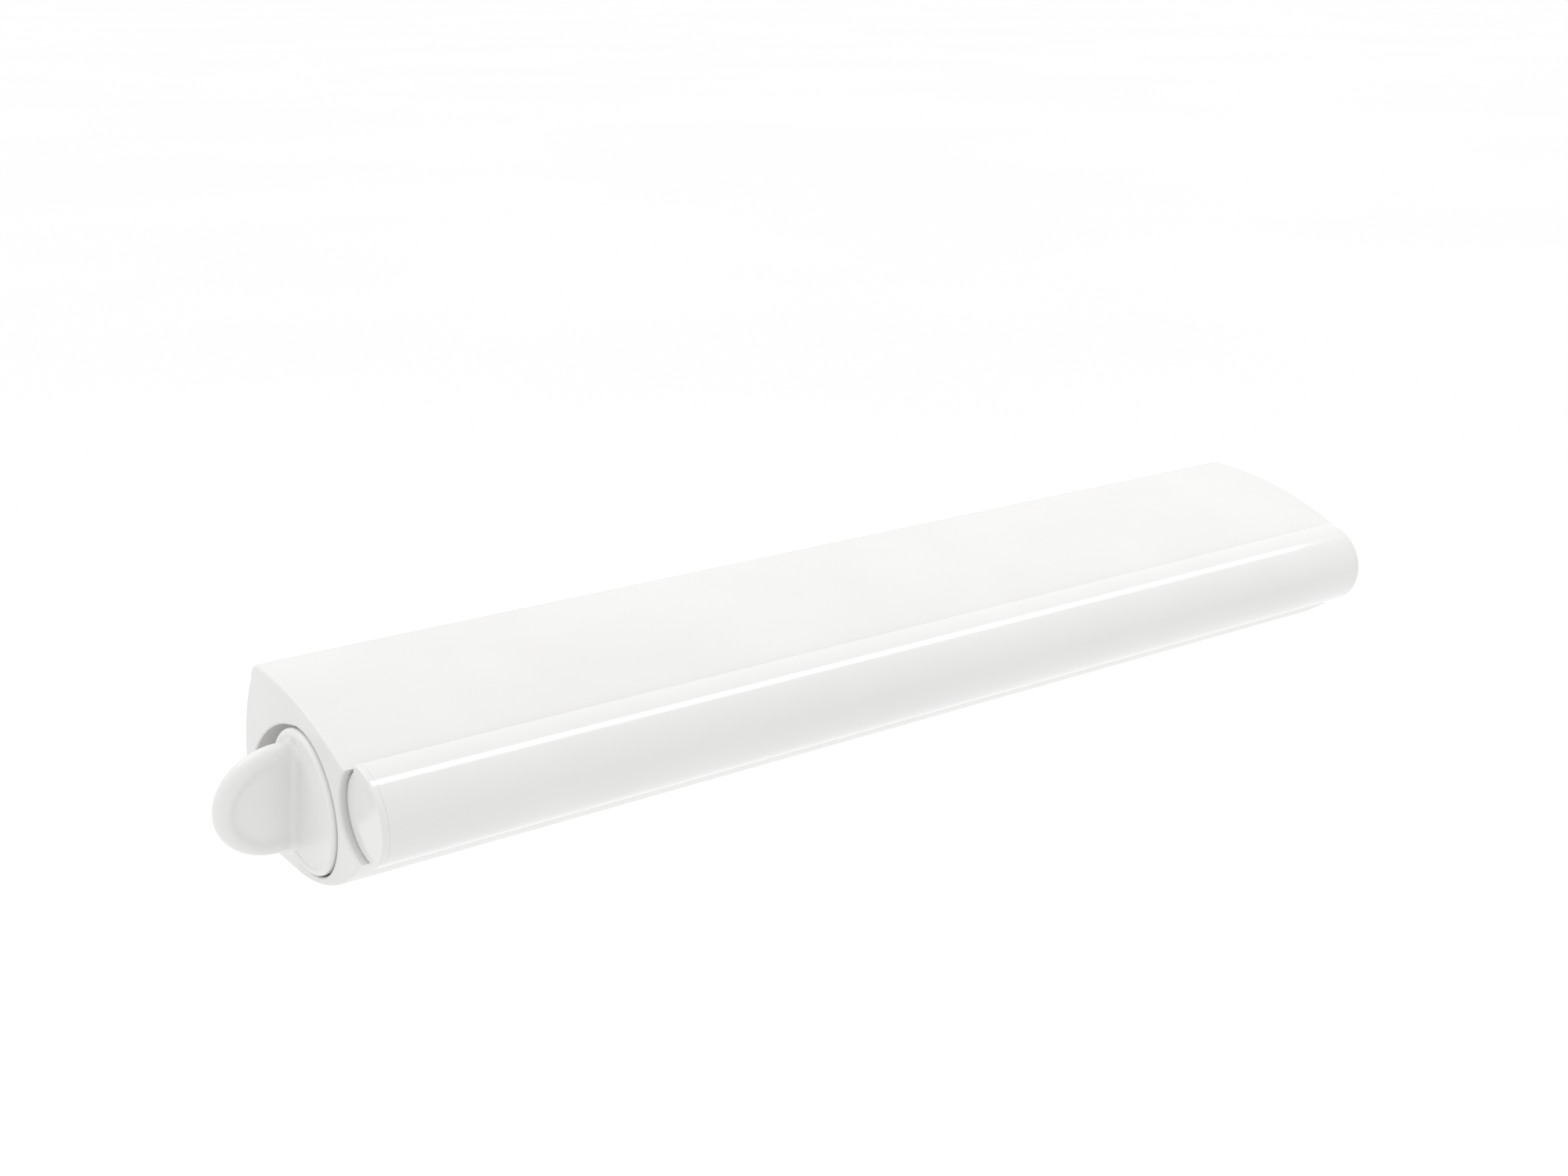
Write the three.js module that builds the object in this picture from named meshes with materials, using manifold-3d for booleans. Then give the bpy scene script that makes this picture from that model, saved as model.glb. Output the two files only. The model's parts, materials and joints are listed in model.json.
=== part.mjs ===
// Retractable wall clothesline: a long case with a sprung drum that holds five lines, a pull bar
// that carries their free ends, and a tensioning knob in the left end cap. Millimetres, +Z up.
//
// Row frame: +X runs along the case, +Y points to the wall, +Z up, and the origin is the centre of
// the case's flat wall face. Everything is built in the works frame first: x along the case from its
// middle, y towards the wall and z up from the drum axis. The works group then moves it into place.
import * as THREE from 'three';
import { mergeVertices } from 'three/addons/utils/BufferGeometryUtils.js';
import Module from 'manifold-3d';

const wasm = await Module();
wasm.setup();

// ---------------------------------------------------------------- driving dimensions

// Case
const caseLength = 505;
const shellWall = 1.5;
const fitGap = 0.3;
const capPlate = 4;
const axisToWall = 56.4;
const wallFaceTop = 2;
const wallFaceBottom = -29;
const footRadius = 4;
const crownHeight = 36.5;
const topRearHeight = 39.9;
const noseOverhang = 7.3;
const noseHeight = 25;
const lipOverhang = 15.1;
const lipHeight = -7;
const lineHeight = 11;

// Knob and its recess
const knobRadius = 26.8;
const knobClearance = 0.7;
const knobThickness = 9;
const knobProud = 1.5;
const knobTravel = 5;
const cupWall = 0.9;
const recessDepth = 16.5;
const recessFloor = 2.5;
const recessToWall = 9.4;
const bladeHeight = 29.5;
const bladeThickness = 7.4;
const bladeTilt = 14;
const bladeDrop = 2;
const hookSeatRoom = 3;
const spindleRadius = 6.5;
const spindleEndRadius = 5;

// Drum, lines and bearings
const endWorks = 51.5;
const drumWall = 2;
const flangeClearance = 3.5;
const windingDepth = 8;
const flangeWidth = 1.6;
const lineCount = 5;
const lineDiameter = 3;
const lineLength = 4200;
const lineClearance = 0.7;
const journalRadius = 10;
const journalStep = 2;
const bearingPlate = 4;
const bushWall = 2.6;

// Ratchet, dog clutch and pawl
const ratchetClearance = 7.5;
const ratchetTeeth = 24;
const ratchetDepth = 2.5;
const ratchetWidth = 4;
const dogCount = 12;
const dogRadius = 12.5;
const dogBore = 7;
const dogHeight = 3.4;
const dogBackGap = 0.4;
const pawlWidth = 3.4;
const pawlSwing = 12;
const pinRadius = 2;

// Power spring
const cupClearance = 2.5;
const cupLength = 24;
const springTurns = 6;
const springStrip = 0.8;

// Pull bar
const barRadius = 18.2;
const barGap = 0.9;
const barWall = 1.6;
const barBackWall = 1.4;
const barSetbackLeft = 3;
const barSetbackRight = 7;
const barCapPlate = 2.4;
const hookInset = 27;
const hookSlotWidth = 8;
const hookSlotHeight = 6;

// Wall brackets and screws
const bracketSpacing = 320;
const bracketWidth = 41.4;
const bracketHeight = 21.4;
const bracketLap = 0.5;
const screwRadius = 1.3;
const screwHeadRadius = 3;
const screwHeadHeight = 1.8;
const screwLength = 12;
const postRadius = 3.6;

const roundSteps = 24;
const smallSteps = 12;

// ---------------------------------------------------------------- values that follow from them

const halfCase = caseLength / 2;
const recessRadius = knobRadius + knobClearance;
const webRadius = recessRadius + cupWall + fitGap + shellWall;
const flangeRadius = recessRadius - flangeClearance;
const drumRadius = flangeRadius - windingDepth;
const ratchetRadius = recessRadius - ratchetClearance;
const cupRadius = recessRadius - cupClearance;
const fingerReach = axisToWall - recessToWall;
const bladeLength = 1.68 * knobRadius;
const bladeOffset = 0.3 * knobRadius;
const dogClearance = knobTravel + dogBackGap - dogHeight;
const halfDrum = halfCase - endWorks;
const windingInner = drumRadius + fitGap;
const windingOuter = windingInner + 1.87 * lineDiameter;
const drumTurns = Math.round(lineLength / (Math.PI * (windingInner + windingOuter)));
const windingWidth = (drumTurns / 2) * lineDiameter;
const linePitch = (2 * halfDrum - flangeWidth) / lineCount;
const leadRadius = windingOuter - lineDiameter / 2;
const bracketThickness = shellWall + bracketLap;
const screwHole = screwRadius + fitGap;
const bushRadius = journalRadius + fitGap + bushWall;

// Stations along x, from the left end inwards; the right-hand works mirror those of the left.
const flangeOuterX = halfDrum + fitGap + flangeWidth;
const plateInnerX = flangeOuterX + 2.1;
const plateOuterX = plateInnerX + bearingPlate;
const ratchetInnerX = plateOuterX + 1;
const ratchetOuterX = ratchetInnerX + ratchetWidth;
const ratchetTipX = ratchetOuterX + dogHeight;
const dogTipX = ratchetTipX + dogClearance;
const dogRootX = dogTipX + dogHeight;
const dogOuterX = dogRootX + 3;
const floorInnerX = halfCase - recessDepth - recessFloor;
const floorOuterX = halfCase - recessDepth;
const knobBackX = halfCase + knobProud - knobThickness;

// ---------------------------------------------------------------- points, outlines and solids

const at = (y, z) => new THREE.Vector2(y, z);

function polar(radius, degrees, centre = at(0, 0)) {
  const angle = THREE.MathUtils.degToRad(degrees);
  return at(centre.x + radius * Math.cos(angle), centre.y + radius * Math.sin(angle));
}

function circleThrough(a, b, c) {
  const d = 2 * (a.x * (b.y - c.y) + b.x * (c.y - a.y) + c.x * (a.y - b.y));
  const [sa, sb, sc] = [a.lengthSq(), b.lengthSq(), c.lengthSq()];
  const x = (sa * (b.y - c.y) + sb * (c.y - a.y) + sc * (a.y - b.y)) / d;
  const y = (sa * (c.x - b.x) + sb * (a.x - c.x) + sc * (b.x - a.x)) / d;
  return { centre: at(x, y), radius: Math.hypot(a.x - x, a.y - y) };
}

// Points of the arc from a through b to c, both ends included.
function arcThrough(a, b, c, steps) {
  const { centre, radius } = circleThrough(a, b, c);
  const angleOf = (p) => Math.atan2(p.y - centre.y, p.x - centre.x);
  const turn = Math.PI * 2;
  const forward = (from, to) => (((to - from) % turn) + turn) % turn;
  const start = angleOf(a);
  let sweep = forward(start, angleOf(c));
  if (forward(start, angleOf(b)) > sweep) sweep -= turn;
  return Array.from({ length: steps + 1 }, (_, i) => {
    const angle = start + (sweep * i) / steps;
    return at(centre.x + radius * Math.cos(angle), centre.y + radius * Math.sin(angle));
  });
}

function ring(radius, steps = roundSteps, centre = at(0, 0)) {
  return Array.from({ length: steps }, (_, i) => polar(radius, (360 * i) / steps, centre));
}

const box = (y0, z0, y1, z1) => [at(y0, z0), at(y1, z0), at(y1, z1), at(y0, z1)];

function distanceToEdge(p, a, b) {
  const edge = b.clone().sub(a);
  const t = THREE.MathUtils.clamp(p.clone().sub(a).dot(edge) / edge.lengthSq(), 0, 1);
  return p.distanceTo(a.clone().addScaledVector(edge, t));
}

// The outline moved inwards by a distance (outwards if negative), with the points that a sharp
// corner swallows left out.
function inset(outline, distance) {
  const points = THREE.ShapeUtils.area(outline) < 0 ? [...outline].reverse() : [...outline];
  const count = points.length;
  const moved = points.map((p, i) => {
    const before = p.clone().sub(points[(i + count - 1) % count]).normalize();
    const after = points[(i + 1) % count].clone().sub(p).normalize();
    const normal = at(-before.y - after.y, before.x + after.x);
    return p.clone().addScaledVector(normal, distance / (1 + before.dot(after)));
  });
  const reach = Math.abs(distance) - 0.01;
  const clear = (p) => points.every((a, i) => distanceToEdge(p, a, points[(i + 1) % count]) > reach);
  return moved.filter(clear);
}

// A closed three.js geometry as a solid whose faces point out.
function solid(geometry) {
  const plain = new THREE.BufferGeometry();
  plain.setAttribute('position', geometry.getAttribute('position'));
  plain.setIndex(geometry.getIndex());
  const merged = mergeVertices(plain, 1e-4);
  const position = merged.getAttribute('position');
  const corners = [];
  let volume = 0;
  const [a, b, c] = [new THREE.Vector3(), new THREE.Vector3(), new THREE.Vector3()];
  for (let i = 0; i < merged.index.count; i += 3) {
    const [i0, i1, i2] = [0, 1, 2].map((k) => merged.index.getX(i + k));
    if (i0 === i1 || i1 === i2 || i2 === i0) continue;
    a.fromBufferAttribute(position, i0);
    b.fromBufferAttribute(position, i1);
    c.fromBufferAttribute(position, i2);
    volume += a.dot(b.cross(c));
    corners.push([i0, i1, i2]);
  }
  const triVerts = Uint32Array.from((volume < 0 ? corners.map((t) => [t[0], t[2], t[1]]) : corners).flat());
  const vertProperties = Float32Array.from(position.array);
  return new wasm.Manifold(new wasm.Mesh({ numProp: 3, vertProperties, triVerts }));
}

// Section outline (y, z) run along x.
const sectionToRow = new THREE.Matrix4().makeBasis(
  new THREE.Vector3(0, 1, 0), new THREE.Vector3(0, 0, 1), new THREE.Vector3(1, 0, 0));

function prism(outline, x0, x1) {
  const shape = new THREE.Shape(outline);
  const geometry = new THREE.ExtrudeGeometry(shape, { depth: Math.abs(x1 - x0), bevelEnabled: false });
  return solid(geometry.applyMatrix4(sectionToRow).translate(Math.min(x0, x1), 0, 0));
}

// Profile of [x, radius] pairs turned about the x axis; it starts and ends on the axis.
function turned(profile, steps = roundSteps) {
  const points = profile.map(([x, radius]) => at(radius, x));
  return solid(new THREE.LatheGeometry(points, steps).rotateZ(-Math.PI / 2));
}

// A turned ring whose profile closes on itself.
function turnedRing(profile, steps = roundSteps) {
  return turned([...profile, profile[0]], steps);
}

const tube = (x0, x1, inner, outer, steps) =>
  turnedRing([[x0, inner], [x1, inner], [x1, outer], [x0, outer]], steps);

const rod = (x0, x1, radius, steps = smallSteps) =>
  turned([[x0, 0], [x0, radius], [x1, radius], [x1, 0]], steps);

const moved = (body, y, z) => body.translate([0, y, z]);

const block = (x0, x1, y0, y1, z0, z1) => prism(box(y0, z0, y1, z1), x0, x1);

// A round tube along a smooth curve.
function sweep(curve, radius, steps, sides) {
  const section = new THREE.Shape(ring(radius, sides));
  return solid(new THREE.ExtrudeGeometry(section, { extrudePath: curve, steps }));
}

// ---------------------------------------------------------------- section of the case

const nose = at(-webRadius - noseOverhang, noseHeight);
const lip = at(-webRadius - lipOverhang, lipHeight);
const hollowDeep = at(-webRadius, lineHeight);
const hollow = circleThrough(nose, hollowDeep, lip);
const wallTop = at(axisToWall, wallFaceTop);
const wallFoot = at(axisToWall, wallFaceBottom);
const rearShoulder = at(axisToWall - 12, topRearHeight - 6.1);
const topRear = at(rearShoulder.x - 8.4, topRearHeight);
const bellyEnd = at(18, -recessRadius - 5);
const footStart = at(axisToWall - footRadius, wallFaceBottom - footRadius);

// From the lip round the belly, up the wall face, over the top to the nose and down the hollow.
const caseOutline = [
  ...arcThrough(lip, polar(webRadius + 0.5, 243), bellyEnd, 8),
  ...arcThrough(footStart, polar(footRadius, 315, at(footStart.x, wallFaceBottom)), wallFoot, 3),
  ...arcThrough(wallTop, at(axisToWall - 4.6, 19.5), rearShoulder, 6),
  polar(4, 55, at(topRear.x + 4, topRear.y - 4.4)),
  ...arcThrough(topRear, at(-1, crownHeight), nose, 12),
  ...arcThrough(nose, hollowDeep, lip, 8).slice(1, -1),
];
const caseInside = inset(caseOutline, shellWall);
const plateOutline = inset(caseOutline, shellWall + fitGap);

// The seam between the two shells runs from the hollow, above the lip, to the rear shoulder.
const seamFront = at(lip.x + 12.3, lip.y + 7);
const seamRear = rearShoulder;
const seamRun = seamRear.clone().sub(seamFront).normalize();
const seamUp = at(-seamRun.y, seamRun.x);

function seamSide(rise, sign) {
  const reach = 200;
  const a = seamFront.clone().addScaledVector(seamRun, -reach).addScaledVector(seamUp, rise);
  const b = seamFront.clone().addScaledVector(seamRun, reach).addScaledVector(seamUp, rise);
  const far = seamUp.clone().multiplyScalar(sign * reach);
  return [a, b, b.clone().add(far), a.clone().add(far)];
}

const lineX = (i) => (i - (lineCount - 1) / 2) * linePitch;

// ---------------------------------------------------------------- case

const shellX = halfCase - capPlate - fitGap;

function caseTube(outer, inner) {
  return prism(outer, -shellX, shellX).subtract(prism(inner, -shellX - 1, shellX + 1));
}

function frontShell() {
  let shell = caseTube(caseOutline, caseInside)
    .intersect(prism(seamSide(fitGap / 2, 1), -halfCase, halfCase));
  for (let i = 0; i < lineCount; i += 1) {
    const hole = rod(-12, 12, eyeletRadius + fitGap, smallSteps).rotate([0, 0, 90]);
    shell = shell.subtract(hole.translate([lineX(i), hollowDeep.x, hollowDeep.y]));
  }
  return shell;
}

// Between the bearing plates the rear shell carries a lap strip that closes the top seam from inside.
function lapStrip() {
  const rearTop = [at(0, 0), at(axisToWall, 0), ...caseOutline.filter((p) => p.x > 0 && p.y > 5)];
  const seatX = plateInnerX - fitGap;
  const seat = prism(box(seamRear.x - 12, seamRear.y - 10, axisToWall, seamRear.y + 2), -seatX, seatX);
  const core = prism(inset(rearTop, 2 * shellWall + fitGap), -halfCase, halfCase);
  const under = prism(inset(rearTop, shellWall + fitGap), -seatX, seatX).subtract(core);
  const root = prism(inset(rearTop, shellWall - 0.4), -seatX, seatX).subtract(core)
    .intersect(prism(seamSide(-fitGap / 2, -1), -halfCase, halfCase));
  return under.add(root).intersect(seat);
}

function bracketWindow(x) {
  const half = bracketWidth / 2 + fitGap;
  const middle = (wallFaceTop + wallFaceBottom) / 2;
  const rise = bracketHeight / 2 + fitGap;
  return block(x - half, x + half, axisToWall - 4, axisToWall + 1, middle - rise, middle + rise);
}

function rearShell() {
  const shell = caseTube(caseOutline, caseInside)
    .intersect(prism(seamSide(-fitGap / 2, -1), -halfCase, halfCase))
    .add(lapStrip());
  return shell.subtract(bracketWindow(-bracketSpacing / 2)).subtract(bracketWindow(bracketSpacing / 2));
}

function fingerRecess(extra) {
  const front = polar(recessRadius, 73);
  const side = at(0.63 * fingerReach, 0.651 * recessRadius);
  const upper = [
    ...arcThrough(at(fingerReach, 0), at(fingerReach - 0.5, 2.6), at(fingerReach - 1.8, 5), 2).slice(1),
    ...arcThrough(at(fingerReach - 1.8, 5), side, front, 7).slice(1),
  ];
  const lower = upper.map((p) => at(p.x, -p.y)).reverse();
  const round = arcThrough(front, at(-recessRadius, 0), polar(recessRadius, -73), 22).slice(1, -1);
  const outline = [...upper, ...round, ...lower, at(fingerReach, 0)];
  return extra ? inset(outline, -extra) : outline;
}

const leftPostAngles = [97, 262];
const leftPost = (angle) => polar(recessRadius - screwHeadRadius - 0.6, angle);
const rightPosts = [17, -17].map((z) => at(axisToWall - 20.4, z));

function endCapLeft() {
  const plate = prism(caseOutline, -halfCase, -halfCase + capPlate);
  const cup = prism(fingerRecess(cupWall), -halfCase + 1, -floorInnerX);
  let cap = plate.add(cup).subtract(prism(fingerRecess(0), -halfCase - 1, -floorOuterX));
  cap = cap.subtract(rod(-halfCase, -floorInnerX + 1, sleeveRadius + fitGap, roundSteps));
  cap = cap.subtract(block(-halfCase, -floorInnerX + 1, -keyWidth / 2 - fitGap, keyWidth / 2 + fitGap,
    -keyReach - fitGap, keyReach + fitGap));
  for (const angle of leftPostAngles) {
    const post = leftPost(angle);
    cap = cap.subtract(moved(rod(-halfCase, -floorInnerX + 1, screwHole), post.x, post.y));
  }
  return cap;
}

function endCapRight() {
  const plate = prism(caseOutline, halfCase - capPlate, halfCase);
  const spigot = prism(plateOutline, halfCase - capPlate - 3, halfCase - capPlate + 1)
    .subtract(rod(halfCase - capPlate - 4, halfCase - capPlate, recessRadius - 2, roundSteps))
    .subtract(block(halfCase - capPlate - 4, halfCase - capPlate, 29, axisToWall - 5, -25, 24));
  const boss = rod(cupOuterX + 2.5, halfCase - capPlate + 1, journalRadius, roundSteps);
  let cap = plate.add(spigot).add(boss);
  cap = cap.subtract(rod(cupOuterX, halfCase - 2, spindleEndRadius + fitGap));
  for (const post of rightPosts) {
    const head = rod(halfCase - 2, halfCase + 1, screwHeadRadius + fitGap);
    cap = cap.subtract(moved(head.add(rod(halfCase - 8, halfCase, screwHole)), post.x, post.y));
  }
  return cap;
}

function bearingPlateSolid(side, posts, postEndX) {
  let plate = prism(plateOutline, side * plateInnerX, side * plateOuterX);
  for (const post of posts) {
    plate = plate.add(moved(rod(side * (plateOuterX - 1), side * postEndX, postRadius), post.x, post.y));
    const depth = side * (postEndX - screwLength);
    plate = plate.subtract(moved(rod(depth, side * (postEndX + 1), screwHole, 12), post.x, post.y));
  }
  const bore = rod(side * (plateInnerX - 1), side * (plateOuterX + 1), bushRadius + fitGap, roundSteps);
  return plate.subtract(bore);
}

function bearingPlateLeft() {
  const posts = leftPostAngles.map(leftPost);
  const plate = bearingPlateSolid(-1, posts, floorInnerX - fitGap);
  const hole = rod(-plateOuterX - 1, -plateInnerX + 1, pinRadius + fitGap, 12);
  return plate.subtract(moved(hole, pawlPivot.x, pawlPivot.y));
}

const bearingPlateRight = () => bearingPlateSolid(1, rightPosts, halfCase - capPlate - 3 - fitGap);

// Flanged bush: its sleeve sits in the bearing plate and its collar faces the drum.
function bush(side) {
  const bore = journalRadius + fitGap / 2;
  return turnedRing([
    [side * (plateOuterX + 0.5), bore],
    [side * (plateInnerX - 1.6), bore],
    [side * (plateInnerX - 1.6), bushRadius + 2],
    [side * (plateInnerX - fitGap), bushRadius + 2],
    [side * (plateInnerX - fitGap), bushRadius],
    [side * (plateOuterX + 0.5), bushRadius],
  ]);
}

const eyeletRadius = 3.6;
const eyeletBore = lineDiameter / 2 + lineClearance;

// Turned guide for one line: collar inside the case, rounded mouth flush with the hollow.
function eyelet(x) {
  const front = hollowDeep.x + 0.1;
  const body = turnedRing([
    [front, eyeletBore + 0.6],
    [front + 0.8, eyeletBore],
    [front + 4.6, eyeletBore],
    [front + 5.2, eyeletBore + 0.6],
    [front + 5.2, eyeletRadius + 1.8],
    [front + shellWall + fitGap, eyeletRadius + 1.8],
    [front + shellWall + fitGap, eyeletRadius],
    [front, eyeletRadius],
  ], smallSteps);
  return body.rotate([0, 0, 90]).translate([x, 0, hollowDeep.y]);
}

function bracket(x) {
  const middle = (wallFaceTop + wallFaceBottom) / 2;
  const half = bracketWidth / 2;
  const rise = bracketHeight / 2;
  const inner = axisToWall - bracketThickness;
  let plate = block(x - half, x + half, inner, axisToWall, middle - rise, middle + rise);
  const behind = axisToWall - shellWall - fitGap;
  plate = plate.add(block(x - half + 4, x + half - 4, behind - 1.8, behind, middle - rise - 3, middle + rise + 3));
  for (const offset of [-half / 2, half / 2]) {
    const hole = rod(-8, 8, 2.6, smallSteps).rotate([0, 0, 90]);
    plate = plate.subtract(hole.translate([x + offset, axisToWall, middle]));
  }
  return plate;
}

// Pan-head screw along x; side says which way its head faces.
function screw(side, headX, post) {
  const body = turned([
    [headX + side * screwHeadHeight, 0],
    [headX + side * screwHeadHeight, screwHeadRadius - 0.8],
    [headX + side * (screwHeadHeight - 0.8), screwHeadRadius],
    [headX, screwHeadRadius],
    [headX, screwRadius],
    [headX - side * screwLength, screwRadius],
    [headX - side * screwLength, 0],
  ], 12);
  const top = headX + side * screwHeadHeight;
  const slot = block(top - side * 0.8, top + side, -0.4, 0.4, -screwHeadRadius, screwHeadRadius);
  return moved(body.subtract(slot), post.x, post.y);
}

// ---------------------------------------------------------------- drum

function drumPlug(side) {
  return turned([
    [side * (halfDrum - 12), 0],
    [side * (halfDrum - 12), drumRadius - drumWall - fitGap],
    [side * (halfDrum + fitGap), drumRadius - drumWall - fitGap],
    [side * (halfDrum + fitGap), flangeRadius],
    [side * flangeOuterX, flangeRadius],
    [side * flangeOuterX, journalRadius],
    [side * (ratchetInnerX - fitGap), journalRadius],
    [side * (ratchetInnerX - fitGap), journalRadius - journalStep],
    [side * (ratchetOuterX - 0.2), journalRadius - journalStep],
    [side * (ratchetOuterX - 0.2), 0],
  ]);
}

function divider(i) {
  const x = (i - lineCount / 2) * linePitch;
  return turnedRing([
    [x - flangeWidth / 2, flangeRadius],
    [x - flangeWidth / 2, drumRadius + fitGap],
    [x + 3, drumRadius + fitGap],
    [x + 3, drumRadius + 2],
    [x + flangeWidth / 2, drumRadius + 2.5],
    [x + flangeWidth / 2, flangeRadius],
  ]);
}

// Two layers of line, closed up into one ring with rounded shoulders.
function winding(i) {
  const half = windingWidth / 2;
  const shoulder = lineDiameter / 2;
  return turnedRing([
    [lineX(i) - half, windingInner],
    [lineX(i) - half, windingOuter - shoulder],
    [lineX(i) - half + shoulder, windingOuter],
    [lineX(i) + half - shoulder, windingOuter],
    [lineX(i) + half, windingOuter - shoulder],
    [lineX(i) + half, windingInner],
  ], 20);
}

// From the drum's top front the line runs to its eyelet, through it and into the bar.
function lead(i) {
  const mouth = at(hollowDeep.x + 4, lineHeight);
  const span = mouth.length();
  const tangent = Math.atan2(mouth.y, mouth.x) - Math.acos(leadRadius / span);
  const touch = at(leadRadius * Math.cos(tangent), leadRadius * Math.sin(tangent));
  const clearRun = Math.sqrt((windingOuter + 2 * fitGap) ** 2 - (leadRadius - lineDiameter / 2) ** 2);
  const run = mouth.clone().sub(touch).normalize();
  const start = touch.clone().addScaledVector(run, clearRun);
  const route = [start, mouth, at(hollowDeep.x, lineHeight), at(leadEndY, lineHeight)];
  const curve = new THREE.CatmullRomCurve3(route.map((p) => new THREE.Vector3(lineX(i), p.x, p.y)));
  return sweep(curve, lineDiameter / 2, 8, 8);
}

function sawTeeth() {
  const step = 360 / ratchetTeeth;
  return Array.from({ length: ratchetTeeth }, (_, i) => [
    polar(ratchetRadius, contactAngle + i * step),
    polar(ratchetRadius - ratchetDepth, contactAngle + 1 + i * step),
  ]).flat();
}

// Face teeth of the clutch: blocks between two radii, evenly spaced, first one at a given angle.
function dogTeeth(rootX, tipX, firstAngle) {
  let teeth = null;
  const half = 6;
  for (let i = 0; i < dogCount; i += 1) {
    const angle = firstAngle + (360 * i) / dogCount;
    const outline = [polar(dogBore + 0.3, angle - half), polar(dogRadius, angle - half),
      polar(dogRadius, angle + half), polar(dogBore + 0.3, angle + half)];
    const tooth = prism(outline, rootX, tipX);
    teeth = teeth ? teeth.add(tooth) : tooth;
  }
  return teeth;
}

function ratchetWheel() {
  const bore = rod(-ratchetTipX - 1, -ratchetInnerX + 1, journalRadius - journalStep + fitGap, roundSteps);
  const hub = rod(-ratchetOuterX - 0.2, -ratchetInnerX, ratchetRadius - ratchetDepth - 3, roundSteps);
  return prism(sawTeeth(), -ratchetOuterX, -ratchetInnerX).add(hub)
    .add(dogTeeth(-ratchetOuterX + 0.5, -ratchetTipX, 180 / dogCount))
    .subtract(bore);
}

const cupInnerX = plateOuterX + 1;
const cupOuterX = cupInnerX + cupLength;

function springCup() {
  const bore = journalRadius - journalStep + fitGap;
  return turnedRing([
    [cupInnerX, bore],
    [cupInnerX, cupRadius],
    [cupOuterX, cupRadius],
    [cupOuterX, cupRadius - 1.8],
    [cupInnerX + 3, cupRadius - 1.8],
    [cupInnerX + 3, bore],
  ]);
}

// Flat spiral of strip steel between the fixed arbor and the cup.
function powerSpring() {
  const inner = spindleEndRadius + 1.2;
  const outer = cupRadius - 1.8 - springStrip - fitGap;
  const stepsPerTurn = 12;
  const steps = springTurns * stepsPerTurn;
  const radiusAt = (i) => inner + ((outer - inner) * i) / steps;
  const edge = (extra) => Array.from({ length: steps + 1 }, (_, i) =>
    polar(radiusAt(i) + extra, (360 * i) / stepsPerTurn));
  return prism([...edge(springStrip), ...edge(0).reverse()], cupInnerX + 4, cupOuterX - 4);
}

function springArbor() {
  const shaft = rod(cupInnerX + 4, halfCase - 2.3, spindleEndRadius);
  const slit = block(cupInnerX + 3, cupOuterX - 4, -0.6, 0.6, -1, spindleEndRadius + 1);
  return shaft.subtract(slit);
}

// ---------------------------------------------------------------- knob, clutch and pawl

const sleeveRadius = 8.6;
const sleeveFlange = 12.5;
const keyWidth = 3;
const keyReach = 10.2;

function bladeSolid() {
  const half = bladeLength / 2;
  const bevel = 2.2;
  const outline = [at(-half + bevel, 4), ...arcThrough(at(-half + bevel, 0), at(0, -bladeHeight + bevel),
    at(half - bevel, 0), 18), at(half - bevel, 4)];
  const geometry = new THREE.ExtrudeGeometry(new THREE.Shape(outline), {
    depth: bladeThickness - 2 * bevel, bevelThickness: bevel, bevelSize: bevel, bevelSegments: 3,
  });
  geometry.translate(0, 0, -bladeThickness / 2 + bevel);
  const acrossToRow = new THREE.Matrix4().makeBasis(
    new THREE.Vector3(0, 0, 1), new THREE.Vector3(1, 0, 0), new THREE.Vector3(0, 1, 0));
  return solid(geometry.applyMatrix4(acrossToRow));
}

function knob() {
  const face = -halfCase - knobProud;
  const back = -knobBackX;
  const disc = turned([
    [back, 0],
    [back, knobRadius - 0.8],
    [back - 0.8, knobRadius],
    [face + 1.6, knobRadius],
    [face + 0.5, knobRadius - 0.5],
    [face, knobRadius - 1.6],
    [face + 0.4, knobRadius - 3],
    [face + 0.4, 0],
  ], 40);
  const blade = bladeSolid()
    .translate([face + 0.5, bladeOffset, -bladeDrop])
    .rotate([bladeTilt, 0, 0])
    .subtract(rod(back - 1, back + 20, knobRadius));
  const socket = rod(back - 6, back + 1, spindleEndRadius + fitGap);
  return disc.add(blade).subtract(socket);
}

function spindle() {
  const back = -knobBackX;
  const shoulder = -dogOuterX - fitGap;
  return turned([
    [back - 5.7, 0],
    [back - 5.7, spindleEndRadius],
    [back + fitGap, spindleEndRadius],
    [back + fitGap, spindleRadius],
    [shoulder, spindleRadius],
    [shoulder, spindleEndRadius],
    [-dogRootX + 0.4, spindleEndRadius],
    [-dogRootX + 0.4, 0],
  ], 24);
}

function dogRing() {
  const body = tube(-dogOuterX, -dogRootX, spindleEndRadius + fitGap, dogRadius + 0.6, 24);
  return body.add(dogTeeth(-dogRootX - 0.5, -dogTipX, 0));
}

// The sleeve slides in the recess floor with the knob but cannot turn, and its arm lifts the pawl.
function knobSleeve() {
  const stop = -floorInnerX + fitGap;
  let sleeve = tube(-knobBackX + 2 * fitGap, stop + 2, spindleRadius + fitGap, sleeveRadius, 24);
  const key = block(-floorOuterX - 4, stop + 1, -keyWidth / 2, keyWidth / 2, -keyReach, keyReach);
  const flange = rod(stop, stop + 2, sleeveFlange, 24);
  const arm = block(stop, stop + 2, sleeveRadius, 31, -3, 3);
  const prong = block(stop, stop + 9, 28, 31, -3, 3);
  sleeve = sleeve.add(key).add(flange).add(arm.add(prong).rotate([armAngle, 0, 0]));
  return sleeve.subtract(rod(-halfCase, -dogOuterX, spindleRadius + fitGap, 24));
}

const armAngle = 24;

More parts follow.
